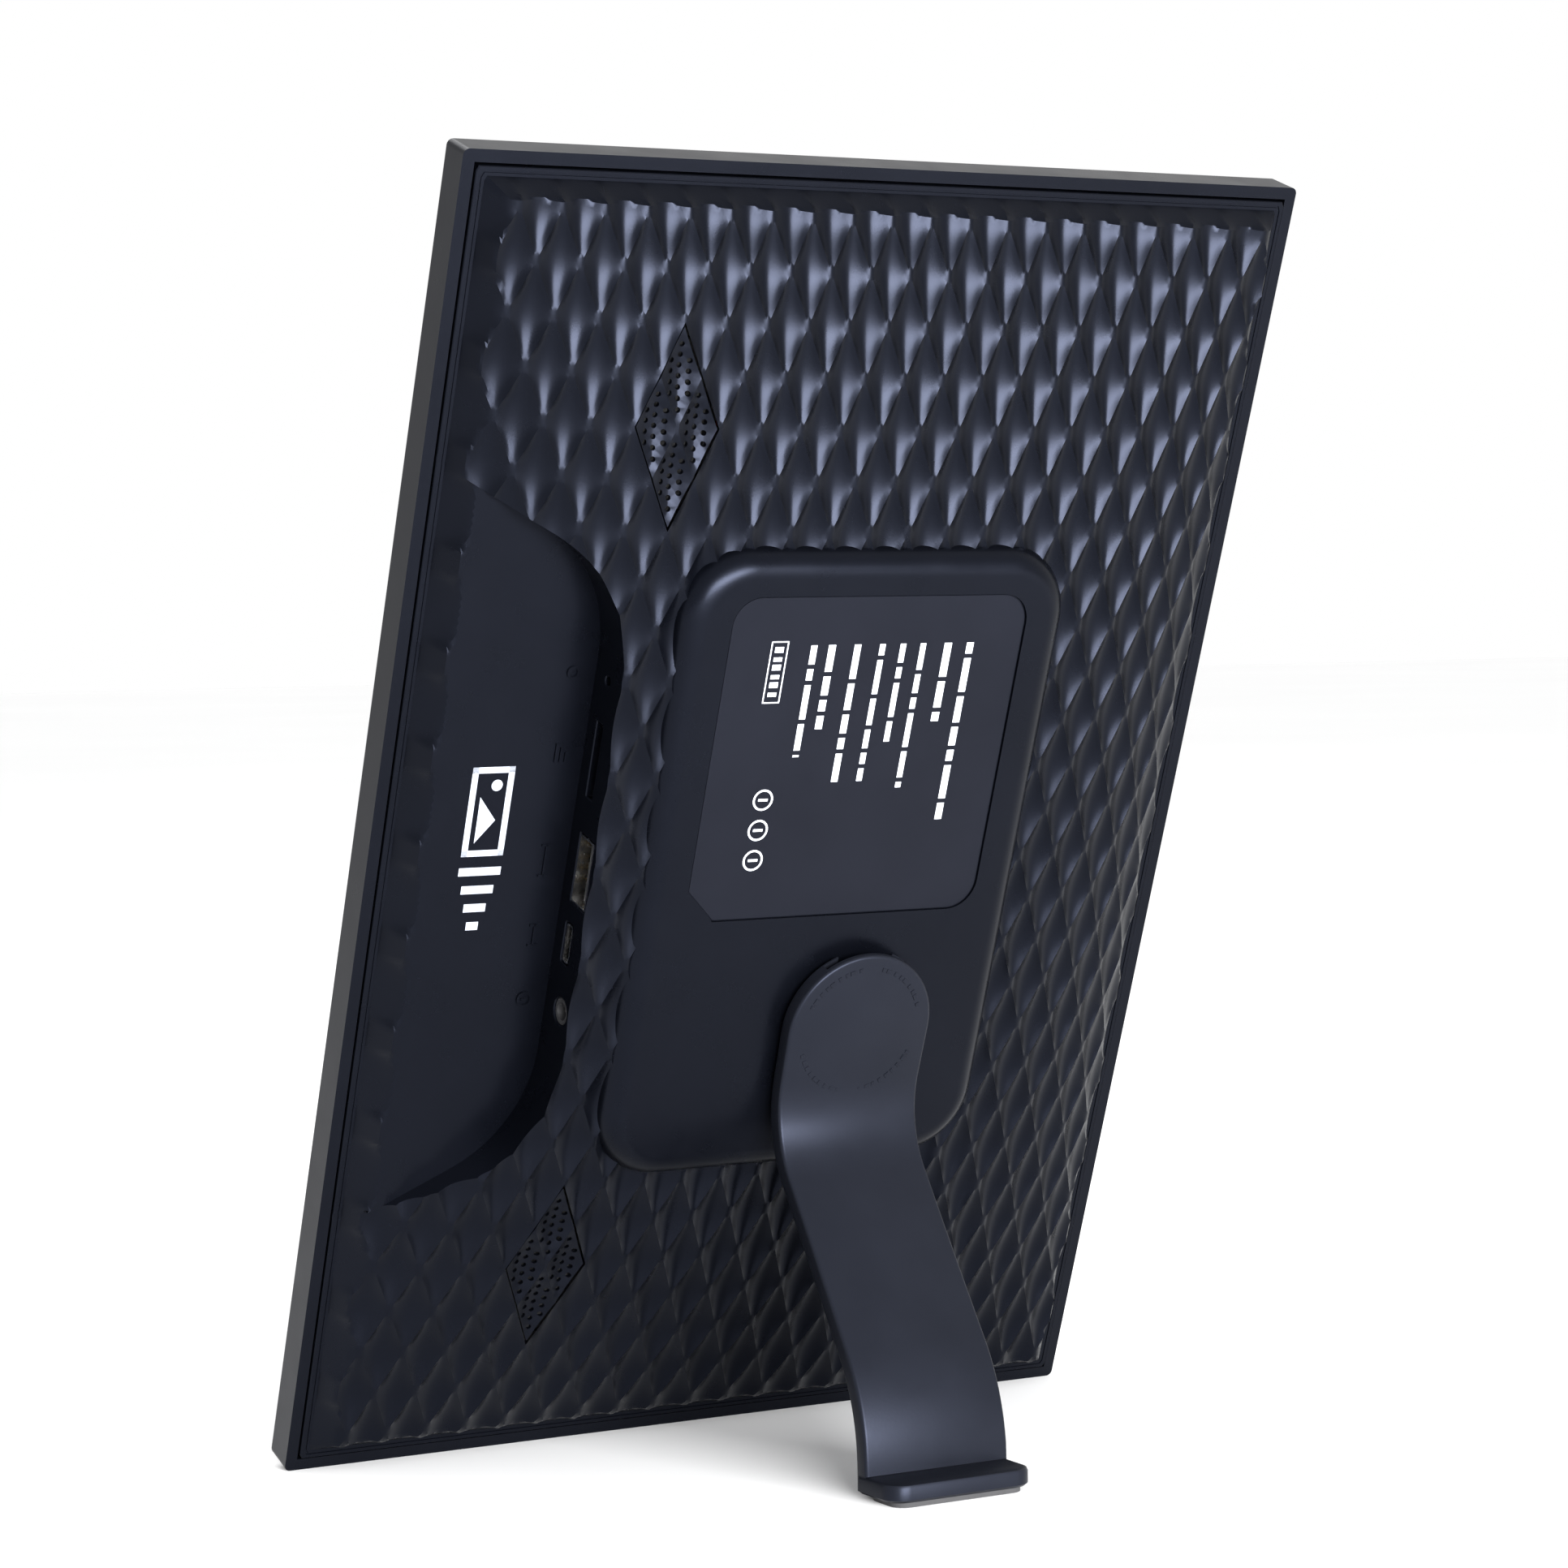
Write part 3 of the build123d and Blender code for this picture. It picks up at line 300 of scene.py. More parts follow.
BLACK = dict(gloss=0.13, tint=(0.62, 0.70, 1.0), rough_spread=0.03)
FINISHES = {
    "case": finish("case", (0.0012, 0.0014, 0.0022), 0.30, grain=0.0005, bump=0.25, **BLACK),
    "cover": finish("cover", (0.0010, 0.0012, 0.0020), 0.29, grain=0.0004, bump=0.3, **BLACK),
    "leg": finish("leg", (0.0050, 0.0056, 0.0080), 0.36, grain=0.0006, bump=0.4, **BLACK),
    "hub": finish("hub", (0.0060, 0.0064, 0.0086), 0.35, **BLACK),
    "grille": finish("grille", (0.0010, 0.0012, 0.0020), 0.32, grain=0.0004, bump=0.3, **BLACK),
    "label": finish("label", (0.0035, 0.0038, 0.0056), 0.38, grain=0.0003, bump=0.2, **BLACK),
    "pad": finish("pad", (0.03, 0.03, 0.032), 0.85, grain=0.0006, bump=0.4),
    "tape": finish("tape", (0.02, 0.02, 0.02), 0.8),
    "screen_glass": finish("screen_glass", (0.008, 0.009, 0.011), 0.06, spread=0.05,
                           rough_spread=0.03, blotch=0.06, grain=0.004, bump=0.02, coat=0.5),
    "lcd_glass": finish("lcd_glass", (0.012, 0.012, 0.016), 0.1, rough_spread=0.03),
    "light_guide": finish("light_guide", (0.8, 0.82, 0.82), 0.2),
    "steel": finish("steel", (0.55, 0.56, 0.58), 0.38, metal=1.0, grain=0.0008, bump=0.2),
    "screw_steel": finish("screw_steel", (0.28, 0.28, 0.3), 0.35, metal=1.0),
    "port_metal": finish("port_metal", (0.62, 0.61, 0.6), 0.24, metal=1.0, blotch=0.004),
    "gold": finish("gold", (0.83, 0.6, 0.26), 0.25, metal=1.0, blotch=0.003),
    "flex": finish("flex", (0.55, 0.27, 0.06), 0.35),
    "inner_plastic": finish("inner_plastic", (0.018, 0.018, 0.02), 0.55),
    "white_plastic": finish("white_plastic", (0.72, 0.7, 0.64), 0.5),
    "cone": finish("cone", (0.04, 0.04, 0.04), 0.9, grain=0.001, bump=0.4),
    "foam": finish("foam", (0.03, 0.03, 0.03), 0.95, grain=0.001, bump=0.6),
    "lead": finish("lead", (0.25, 0.02, 0.02), 0.5),
    "board": finish("board", (0.015, 0.1, 0.05), 0.4),
    "chip": finish("chip", (0.03, 0.03, 0.035), 0.6),
    "ferrite": finish("ferrite", (0.12, 0.11, 0.11), 0.6),
    "print": finish("print", (0.50, 0.52, 0.56), 0.5, spread=0.05, grain=0.0002, bump=0.1),
    "print_grey": finish("print_grey", (0.30, 0.32, 0.37), 0.5, spread=0.05, grain=0.0002,
                         bump=0.1),
}
for piece in frame["nodes"].values():
    for k, old in enumerate(piece.data.materials):
        slot_name = old.name.split(".")[0] if old else "inner_plastic"
        piece.data.materials[k] = FINISHES.get(slot_name, FINISHES["inner_plastic"])


# ---------------------------------------------------------------- the quilted relief
def dome_w(u, v):
    """Height of the ridges of the dome."""
    x = np.abs(u - MID_U) / (MID_U - FLANK_HEAD)
    y = np.abs(v - MID_V) / (MID_V - FLANK_HEAD)
    rise = DOME_RISE - DOME_SAG * np.minimum(x, 1) ** 2
    return EDGE_W + rise * (1 - x**DOME_POWER_U) * (1 - y**DOME_POWER_V)


def scoop(u, v):
    """Depth of the scooped diamonds, nothing on their ridges."""
    p = (u - MID_U) / (QUILT[0] / 2)
    q = (v - QUILT_V) / (QUILT[1] / 2)
    s = np.mod(p + q, 2) - 1
    t = np.mod(p - q, 2) - 1
    return SCOOP * np.maximum((1 - s**2) * (1 - t**2), 0) ** SCOOP_POWER


def flank_w(u, v):
    """Height of the steep flank, bitten by the diamonds that reach the edge."""
    row = np.abs(np.mod(v - QUILT_V, QUILT[1]) - QUILT[1] / 2)
    column = np.abs(np.mod(u - MID_U + QUILT[0] / 2, QUILT[0]) - QUILT[0] / 2)
    bite = SCALLOP * np.sqrt(np.maximum(1 - (row / SCALLOP_HALF) ** 2, 0))
    arch = ARCH * np.sqrt(np.maximum(1 - (column / ARCH_HALF) ** 2, 0))
    across = np.minimum(u, WIDTH - u) - FLANK_FOOT
    up = np.minimum(v, HEIGHT - v) - FLANK_FOOT
    slope = (BAY_FLOOR_W - LIP_W) / (FLANK_HEAD - FLANK_FOOT + bite)
    slope_up = (BAY_FLOOR_W - LIP_W) / (FLANK_HEAD - FLANK_FOOT + arch)
    return LIP_W + np.minimum(across * slope, up * slope_up)


def cover_w(u, v):
    """Height of the quilted cover."""
    return np.minimum(dome_w(u, v) - scoop(u, v), flank_w(u, v))


def floor_w(u, v):
    """Height of the floor of the connector bay."""
    return np.minimum(BAY_FLOOR_W, flank_w(u, v))


bay_knees = [BAY_START, (BAY_WALL_U, BAY_KNEE_V), (BAY_WALL_U, HEIGHT - BAY_KNEE_V),
             (BAY_START[0], HEIGHT - BAY_START[1])]
bay_outline = rounded_path(bay_knees, [BAY_RADIUS, BAY_RADIUS], step=0.8)


def bay_distance(points):
    """Signed distance to the bay's wall line, negative in the bay, and the nearest points."""
    best = np.full(len(points), 1e9)
    nearest = np.zeros_like(points)
    sign = np.ones(len(points))
    for a, b in zip(bay_outline, bay_outline[1:]):
        along = b - a
        share = np.clip((points - a) @ along / (along @ along), 0, 1)
        foot = a + share[:, None] * along
        gap = np.linalg.norm(points - foot, axis=1)
        side = along[0] * (points[:, 1] - a[1]) - along[1] * (points[:, 0] - a[0])
        closer = gap < best
        best[closer] = gap[closer]
        nearest[closer] = foot[closer]
        sign[closer] = np.where(side[closer] > 0, -1, 1)
    return best * sign, nearest


half_count = int((MID_U / QUILT[0] + MID_V / QUILT[1] + 2) * QUILT_STEPS)
ticks = np.arange(-half_count, half_count + 1)
s_grid, t_grid = np.meshgrid(ticks * 2 / QUILT_STEPS, ticks * 2 / QUILT_STEPS, indexing="ij")
grid = np.stack((MID_U + QUILT[0] / 4 * (s_grid + t_grid),
                 QUILT_V + QUILT[1] / 4 * (s_grid - t_grid)), axis=-1).reshape(-1, 2)
side_count = len(ticks)
corner = (np.arange(side_count - 1)[:, None] * side_count + np.arange(side_count - 1)).ravel()
quads = np.stack((corner, corner + side_count, corner + side_count + 1, corner + 1), axis=1)

low = np.array((FLANK_HEAD, FLANK_HEAD))
high = np.array((WIDTH, HEIGHT)) - FLANK_HEAD
SNAP = SNAP_SHARE * np.hypot(*QUILT) / 2 / QUILT_STEPS


def rim_distance(points):
    """Signed distance inside the head of the flank, and the nearest points on it."""
    gaps = np.stack((points[:, 0] - low[0], high[0] - points[:, 0],
                     points[:, 1] - low[1], high[1] - points[:, 1]))
    side = gaps.argmin(axis=0)
    nearest = points.copy()
    nearest[side == 0, 0] = low[0]
    nearest[side == 1, 0] = high[0]
    nearest[side == 2, 1] = low[1]
    nearest[side == 3, 1] = high[1]
    return gaps.min(axis=0), nearest


near = np.all((grid > low - GRID_MARGIN) & (grid < high + GRID_MARGIN), axis=1)
kept_quads = quads[near[quads].all(axis=1)]
used = np.unique(kept_quads)
renumbered = np.full(len(grid), -1)
renumbered[used] = np.arange(len(used))
all_faces = [tuple(f) for f in renumbered[kept_quads].tolist()]
grid = grid[used]
for corner_point in ((low[0], low[1]), (high[0], low[1]), (low[0], high[1]), (high[0], high[1])):
    grid[np.linalg.norm(grid - corner_point, axis=1).argmin()] = corner_point


def split(faces, points, distance):
    """Cuts faces along a line.

    Gives the points, each one's gap to the line, the faces on its two sides and the cut edges."""
    gap, nearest = distance(points)
    on = np.abs(gap) < SNAP
    points = points.copy()
    points[on] = nearest[on]
    gap[on] = 0
    gap = gap.tolist()
    spots = list(points)
    cuts = {}
    sides = ([], [])
    for f in faces:
        if all(gap[k] >= 0 for k in f) or all(gap[k] <= 0 for k in f):
            if any(gap[k] for k in f):
                sides[0 if max(gap[k] for k in f) > 0 else 1].append(f)
            continue
        loops = ([], [])
        for a, b in zip(f, f[1:] + f[:1]):
            for loop, sign in zip(loops, (1, -1)):
                if gap[a] * sign >= 0:
                    loop.append(a)
            if gap[a] * gap[b] < 0:
                key = frozenset((a, b))
                if key not in cuts:
                    share = gap[a] / (gap[a] - gap[b])
                    spot = spots[a] + share * (spots[b] - spots[a])
                    cuts[key] = len(spots)
                    spots.append(distance(spot[None])[1][0])
                    gap.append(0.0)
                for loop in loops:
                    loop.append(cuts[key])
        for side, loop in zip(sides, loops):
            if len(loop) > 2:
                side.append(tuple(loop))
    return np.array(spots), np.array(gap), sides, cuts


grid, rim_gap, (all_faces, _), _ = split(all_faces, grid, rim_distance)
grid, bay_gap, (quilt_faces, bay_faces), bay_cuts = split(all_faces, grid, bay_distance)
on_rim = {k for f in all_faces for k in f if rim_gap[k] == 0}
on_rim |= {k for edge, k in bay_cuts.items() if edge <= on_rim}

middle = np.array([grid[list(f)].mean(axis=0) for f in quilt_faces])
in_plateau = (np.abs(middle[:, 0] - MID_U) < PLATEAU[0] / 2 - PLATEAU_OVERLAP) & (
    np.abs(middle[:, 1] - MID_V) < PLATEAU[1] / 2 - PLATEAU_OVERLAP)
in_plateau &= (np.abs(middle[:, 0] - MID_U) + np.abs(middle[:, 1] - MID_V)
               < sum(PLATEAU) / 2 - PLATEAU_CORNER)
p_mid = np.abs((middle[:, 0] - MID_U) / QUILT[0] + GRILLE_CELL[0])
q_mid = np.abs(np.abs(middle[:, 1] - QUILT_V) / QUILT[1] - GRILLE_CELL[1])
in_grille = p_mid + q_mid < 1
quilt_faces = [f for f, a, b in zip(quilt_faces, in_plateau, in_grille) if not a and not b]

cover = Shape()
used = sorted({k for f in quilt_faces for k in f})
upper_index = {k: n for n, k in enumerate(used)}
uv = grid[used]
cover.add(np.column_stack((uv, cover_w(uv[:, 0], uv[:, 1]))),
          [[upper_index[k] for k in f] for f in quilt_faces])
used = sorted({k for f in bay_faces for k in f})
lower_index = {k: n for n, k in enumerate(used)}
uv = grid[used]
cover.add(np.column_stack((uv, floor_w(uv[:, 0], uv[:, 1]))),
          [[lower_index[k] for k in f] for f in bay_faces])


# flank and lip: strips all round that start at the quilt's rim points
def round_the_rim(k):
    """Sorting key of a rim point, going round the four sides."""
    u, v = grid[k]
    gaps = (v - low[1], high[0] - u, high[1] - v, u - low[0])
    side = int(np.argmin(gaps))
    return side, (u, v, -u, -v)[side]


rim_keys = sorted(on_rim, key=round_the_rim)
rim_points = grid[rim_keys]
MIDDLE = np.array((MID_U, MID_V))


def ring(inset):
    """Points round the cover at that distance from its edge, in step with the rim points."""
    return MIDDLE + (rim_points - MIDDLE) * (MIDDLE - inset) / (MIDDLE - FLANK_HEAD)


flank_rings = []
for inset in np.linspace(FLANK_HEAD, FLANK_FOOT, 8):
    spots = ring(inset)
    heights = np.where(bay_gap[rim_keys] < 0, floor_w(spots[:, 0], spots[:, 1]),
                       cover_w(spots[:, 0], spots[:, 1]))
    flank_rings.append(np.column_stack((spots, heights)))
cover.bridge(flank_rings)
for n, k in enumerate(rim_keys):
    if bay_gap[k] == 0:
        for m in (n - 1, (n + 1) % len(rim_keys)):
            if bay_gap[rim_keys[m]] < 0:
                cover.add([flank_rings[0][n], flank_rings[0][m], (*grid[k], floor_w(*grid[k]))],
                          [(0, 1, 2)])
# inset and height of the steps of the lip, with its groove and its drop to the case
LIP_STEPS = ((FLANK_FOOT, LIP_W), (3.75, LIP_W), (3.7, 0.14), (3.45, 0.14), (3.4, LIP_W),
             (2.75, LIP_W), (2.6, 0.15), (2.6, -2.6))
cover.bridge([np.column_stack((ring(inset), np.full(len(rim_keys), w))) for inset, w in LIP_STEPS])

# bay wall: strips under the lip, and a flat stretch with the connector openings
edge_count = {}
for f in quilt_faces:
    for a, b in zip(f, f[1:] + f[:1]):
        if bay_gap[a] == 0 and bay_gap[b] == 0:
            edge_count[frozenset((a, b))] = edge_count.get(frozenset((a, b)), 0) + 1
FLAT_V = (91.5, HEIGHT - 90.2)
ON_WALL = 1e-6
WALL_SHARES = (0, 0.25, 0.5, 0.75, 1)
flat_edges = []
for edge, count in edge_count.items():
    a, b = sorted(edge, key=lambda k: grid[k][1])
    if count != 1 or a not in lower_index or b not in lower_index:
        continue
    on_flat = all(abs(grid[k][0] - BAY_WALL_U) < ON_WALL and FLAT_V[0] < grid[k][1] < FLAT_V[1]
                  for k in (a, b))
    if on_flat:
        flat_edges.append((a, b))
        continue
    rings = []
    for share in WALL_SHARES:
        rings.append([(*grid[k], (1 - share) * cover_w(*grid[k]) + share * floor_w(*grid[k]))
                      for k in (a, b)])
    cover.bridge(rings, closed=False)

flat_keys = sorted({k for edge in flat_edges for k in edge}, key=lambda k: grid[k][1])
PORTS = {
    "usb_a": rounded_box(13.6, 5.8, 0.4, 3, (127.3, 12.0)),
    "micro": rounded_box(8.2, 3.1, 0.8, 5, (112.4, 10.35)),
    "card": rounded_box(14.6, 2.4, 0.3, 3, (148.4, 10.05)),
    "power": circle(2.6, 32, (99.4, 11.8)),
    "reset": circle(0.9, 20, (163.9, 10.4)),
}
PORT_BEVEL = 0.2
PORT_DEPTH = 1.7
lip_chain = [(grid[k][1], float(cover_w(*grid[k]))) for k in flat_keys]
foot_chain = [(grid[k][1], BAY_FLOOR_W) for k in reversed(flat_keys)]


def grown(outline, amount):
    """An outline with its points moved outwards from its middle."""
    points = np.array(outline)
    mid = (points.min(axis=0) + points.max(axis=0)) / 2
    half = (points.max(axis=0) - points.min(axis=0)) / 2
    return [tuple(p) for p in mid + (points - mid) * (1 + amount / half)]


mouths = [grown(outline, PORT_BEVEL) for outline in PORTS.values()]
cover.cap([lip_chain + foot_chain, *mouths], lambda x, y: (BAY_WALL_U, x, y))
for mouth, outline in zip(mouths, PORTS.values()):
    cover.bridge([
        [(BAY_WALL_U, x, y) for x, y in mouth],
        [(BAY_WALL_U + PORT_BEVEL, x, y) for x, y in outline],
        [(BAY_WALL_U + PORT_DEPTH, x, y) for x, y in outline],
    ])

# raised plateau with its rounded edge, the label recess and the hub hole
plateau_rings = []
for w, inset in [(PLATEAU_FOOT_W, 0.0), (PLATEAU_W - PLATEAU_ROUND, 0.0)] + [
        (PLATEAU_W - PLATEAU_ROUND * (1 - sin(a)), PLATEAU_ROUND * (1 - cos(a)))
        for a in np.linspace(0, pi / 2, 13)[1:]]:
    outline = rounded_box(PLATEAU[0] - 2 * inset, PLATEAU[1] - 2 * inset,
                          PLATEAU_CORNER - inset, 12, (MID_U, MID_V))
    plateau_rings.append([(x, y, w) for x, y in outline])
cover.bridge(plateau_rings)
label_lo, label_hi = (panel_point(c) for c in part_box("rating_label"))
label_u = (label_lo[0] + label_hi[0]) / 2
LABEL_SIZE = (62.6, 63.6)
LABEL_V = 150.9
LABEL_CORNER = 5.8
LABEL_CHAMFER = 6.0
LABEL_ARC = 8
RECESS_W = PLATEAU_W - LABEL_RECESS - 0.01
CLIPPED = range(2 * (LABEL_ARC + 1), 3 * (LABEL_ARC + 1))    # the lower left corner's points
recess = []
for k, (x, y) in enumerate(rounded_box(*LABEL_SIZE, LABEL_CORNER, LABEL_ARC, (label_u, LABEL_V))):
    if k not in CLIPPED:
        recess.append((x, y))
    elif k in (CLIPPED[0], CLIPPED[-1]):
        dx = -LABEL_SIZE[0] / 2 + (LABEL_CHAMFER if k == CLIPPED[-1] else 0)
        dy = -LABEL_SIZE[1] / 2 + (LABEL_CHAMFER if k == CLIPPED[0] else 0)
        recess.append((label_u + dx, LABEL_V + dy))
top_outline = [(x, y) for x, y, _ in plateau_rings[-1]]
hub_hole = circle(HUB_HOLE[0], 40, (HUB_U, HUB_V))
cover.cap([top_outline, recess, hub_hole], lambda x, y: (x, y, PLATEAU_W))
cover.cap([recess], lambda x, y: (x, y, RECESS_W))
for loop, bottom in ((recess, RECESS_W), (hub_hole, PLATEAU_W - HUB_HOLE[1])):
    cover.bridge([[(x, y, PLATEAU_W) for x, y in loop], [(x, y, bottom) for x, y in loop]])
make("quilted_cover", cover.points, cover.faces, "display", FINISHES["cover"],
     replaces=["back_cover"], sharp=24)

# ---------------------------------------------------------------- speaker grilles
HOLE_R = 0.5
HOLE_PITCH = 1.9
HOLE_COLUMN = 1.75
GRILLE_T = 0.8
GRILLE_DROP = 0.05
CELL_STEPS = 12
CELL_SHRINK = 0.955
for name, sign in (("upper", 1), ("lower", -1)):
    grille = Shape()
    mid = np.array((MID_U - GRILLE_CELL[0] * QUILT[0], QUILT_V + sign * GRILLE_CELL[1] * QUILT[1]))
    for cell in ((0, 0.5), (0, -0.5), (0.5, 0), (-0.5, 0)):
        centre = mid + np.array(cell) * QUILT * CELL_SHRINK
        tips = [mid + (np.array(cell) + np.array(t) / 2) * QUILT * CELL_SHRINK
                for t in ((1, 0), (0, 1), (-1, 0), (0, -1))]
        rim = [tuple(a + (b - a) * k / CELL_STEPS)
               for a, b in zip(tips, tips[1:] + tips[:1]) for k in range(CELL_STEPS)]
        spots = [(0, HOLE_PITCH * k) for k in range(-3, 4)]
        spots += [(sx * HOLE_COLUMN, HOLE_PITCH * (k - 1.5)) for sx in (-1, 1) for k in range(4)]
        holes = [circle(HOLE_R, 12, (centre[0] + x, centre[1] + y)) for x, y in spots]

        def sheet_point(x, y, drop=0.0):
            return (x, y, float(dome_w(x, y) - scoop(x, y)) - GRILLE_DROP - drop)

        grille.cap([rim, *holes], sheet_point)
        for loop in [rim, *holes]:
            grille.bridge([[sheet_point(x, y) for x, y in loop],
                           [sheet_point(x, y, GRILLE_T) for x, y in loop]])
    make(f"grille_{name}", grille.points, grille.faces, "display", FINISHES["grille"],
         replaces=[f"speaker_grille_{name}"], sharp=24)

# ---------------------------------------------------------------- the leg
leg_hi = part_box("stand_leg")[1]
PAD_T = (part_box("foot_pad")[1].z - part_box("foot_pad")[0].z) / MM
LEG_TOP_W = 23.3
LEG_T = 3.6
LEG_HALF = 15.4
LEG_WAIST = 15.0
LEG_WAIST_LENGTH = 85
LEG_SLOPE = radians(35.0)
FOOT_REACH = 81.4
FOOT_TIP = (leg_hi.y - ORIGIN[1]) / MM
FOOT_TOP = 4.4
KNEE_V = 76.6
LEG_RADII = (19.0, 38.0)
LEG_EDGE = 0.7
HUB_X = swivel["pos_m"][0]


def side_point(v, w):
    """Distance behind the rear bottom edge and height of a panel-frame point."""
    return (v * sin(LEAN) + w * cos(LEAN), v * cos(LEAN) - w * sin(LEAN))


knee = side_point(KNEE_V, LEG_TOP_W)
ankle = (FOOT_REACH, knee[1] - (FOOT_REACH - knee[0]) / tan(LEG_SLOPE))
heel_point = (FOOT_REACH, PAD_T + 0.4)
leg_path = rounded_path([side_point(HUB_V + LEG_HALF, LEG_TOP_W), knee, ankle, heel_point],
                        LEG_RADII, step=1.0)
steps = np.linalg.norm(np.diff(leg_path, axis=0), axis=1)
lengths = np.concatenate(([0], np.cumsum(steps)))
tangents = np.diff(leg_path, axis=0) / steps[:, None]
angles = np.unwrap(np.arctan2(tangents[:, 1], tangents[:, 0]))
angle_at = (lengths[1:] + lengths[:-1]) / 2


def on_leg(x, s, depth):
    """World position at x across the leg, s along its outer face and depth under it."""
    y = np.interp(s, lengths, leg_path[:, 0])
    z = np.interp(s, lengths, leg_path[:, 1])
    a = np.interp(s, angle_at, angles)
    y += depth * sin(a)
    z -= depth * cos(a)
    return (HUB_X + x * MM, ORIGIN[1] + y * MM, z * MM)


def leg_half(s):
    """Half width of the leg at s along it, round its head and waisted below."""
    if s < LEG_HALF:
        return (LEG_HALF**2 - (LEG_HALF - s) ** 2) ** 0.5
    share = min((s - LEG_HALF) / LEG_WAIST_LENGTH, 1)
    return LEG_WAIST + (LEG_HALF - LEG_WAIST) * (2 * share - 1) ** 2


head = [(-LEG_HALF * cos(a), LEG_HALF * (1 - sin(a))) for a in np.linspace(0, pi / 2, 25)]
shank = [(-leg_half(s), s) for s in np.arange(LEG_HALF + 1, lengths[-1], 1.0)] + [
    (-leg_half(lengths[-1]), lengths[-1])]
left_side = [*reversed(shank), *head]
outline = np.array(left_side + [(-x, s) for x, s in reversed(left_side[:-1])])
tangent = np.gradient(outline, axis=0)
outward = np.column_stack((-tangent[:, 1], tangent[:, 0]))
outward /= np.linalg.norm(outward, axis=1)[:, None]
if outward[0, 0] > 0:
    outward = -outward
rounding = np.linspace(0, pi / 2, 5)
profile = [(LEG_EDGE * (1 - sin(a)), LEG_EDGE * (1 - cos(a))) for a in rounding]
profile += [(inset, LEG_T - depth) for inset, depth in reversed(profile)]
leg = Shape()
leg_rings = []
for inset, depth in profile:
    moved = outline - outward * inset
    leg_rings.append([on_leg(x, s, depth) for x, s in moved])
leg.bridge(leg_rings, closed=False)
count = len(outline)
for r in (leg_rings[0], leg_rings[-1]):
    leg.add(r, [(k, k + 1, count - 2 - k, count - 1 - k) for k in range(count // 2)])
leg.add([p for r in leg_rings for p in (r[0], r[-1])],
        [(2 * k, 2 * k + 1, 2 * k + 3, 2 * k + 2) for k in range(len(leg_rings) - 1)])
FOOT_CORNER = 4.0
foot_half = LEG_HALF + 0.1
heel = FOOT_REACH - LEG_T + 1
corner_u = foot_half - FOOT_CORNER
corner_v = FOOT_TIP - FOOT_CORNER
quarter = np.linspace(0, pi / 2, 9)
foot_outline = np.array(
    [(-foot_half, heel), (foot_half, heel)]
    + [(corner_u + FOOT_CORNER * cos(a), corner_v + FOOT_CORNER * sin(a)) for a in quarter]
    + [(-corner_u - FOOT_CORNER * sin(a), corner_v + FOOT_CORNER * cos(a)) for a in quarter])
foot_mid = np.array((0, (heel + FOOT_TIP) / 2))
foot_rings = []
FOOT_STEPS = ((0.5, PAD_T), (0, PAD_T + 0.5), (0, FOOT_TOP - 0.7), (0.2, FOOT_TOP - 0.2),
              (0.7, FOOT_TOP))
for inset, z in FOOT_STEPS:
    size = np.abs(foot_outline - foot_mid).max(axis=0)
    shrunk = foot_mid + (foot_outline - foot_mid) * (1 - inset / size)
    foot_rings.append([(HUB_X + x * MM, ORIGIN[1] + y * MM, z * MM) for x, y in shrunk])
leg.bridge(foot_rings)
leg.add(foot_rings[0], [tuple(range(len(foot_outline)))])
leg.add(foot_rings[-1], [tuple(range(len(foot_outline)))])
leg_piece = make("leg_shell", leg.points, leg.faces, "leg", FINISHES["leg"],
                 replaces=["stand_leg"], sharp=40, world=True)

# the tee slot in the head's underside, open at its top, that slides on to the hub's rail
SLOT_NECK = (5.9, 18.7, 20.55)      # half width, and from and to which height
SLOT_TEE = (8.9, 22.05)
SLOT_END = 8.05
right_side = [(SLOT_NECK[0], SLOT_NECK[1]), (SLOT_NECK[0], SLOT_NECK[2]),
              (SLOT_TEE[0], SLOT_NECK[2]), (SLOT_TEE[0], SLOT_TEE[1])]
section = [(-SLOT_NECK[0], SLOT_NECK[1])] + right_side + [(-x, w) for x, w in right_side[:0:-1]]
cutter_mesh = bpy.data.meshes.new("slot")
corners = [(HUB_U + x, HUB_V + v, w) for v in (-SLOT_END, LEG_HALF + 2) for x, w in section]
sides = [(k, (k + 1) % 8, 8 + (k + 1) % 8, 8 + k) for k in range(8)]
cutter_mesh.from_pydata(place(corners), [], [tuple(range(8)), tuple(range(15, 7, -1)), *sides])
cutter_bm = bmesh.new()
cutter_bm.from_mesh(cutter_mesh)
bmesh.ops.recalc_face_normals(cutter_bm, faces=cutter_bm.faces)
cutter_bm.to_mesh(cutter_mesh)
cutter_bm.free()
cutter = bpy.data.objects.new("slot", cutter_mesh)
bpy.context.scene.collection.objects.link(cutter)
cut = leg_piece.modifiers.new("slot", "BOOLEAN")
cut.object = cutter
cut.operation = "DIFFERENCE"
cut.solver = "EXACT"
cut.use_self = True
bpy.context.view_layer.update()
evaluated = leg_piece.evaluated_get(bpy.context.evaluated_depsgraph_get())
slotted = bpy.data.meshes.new_from_object(evaluated)
leg_piece.modifiers.clear()
leg_piece.data = slotted
bpy.data.objects.remove(cutter)

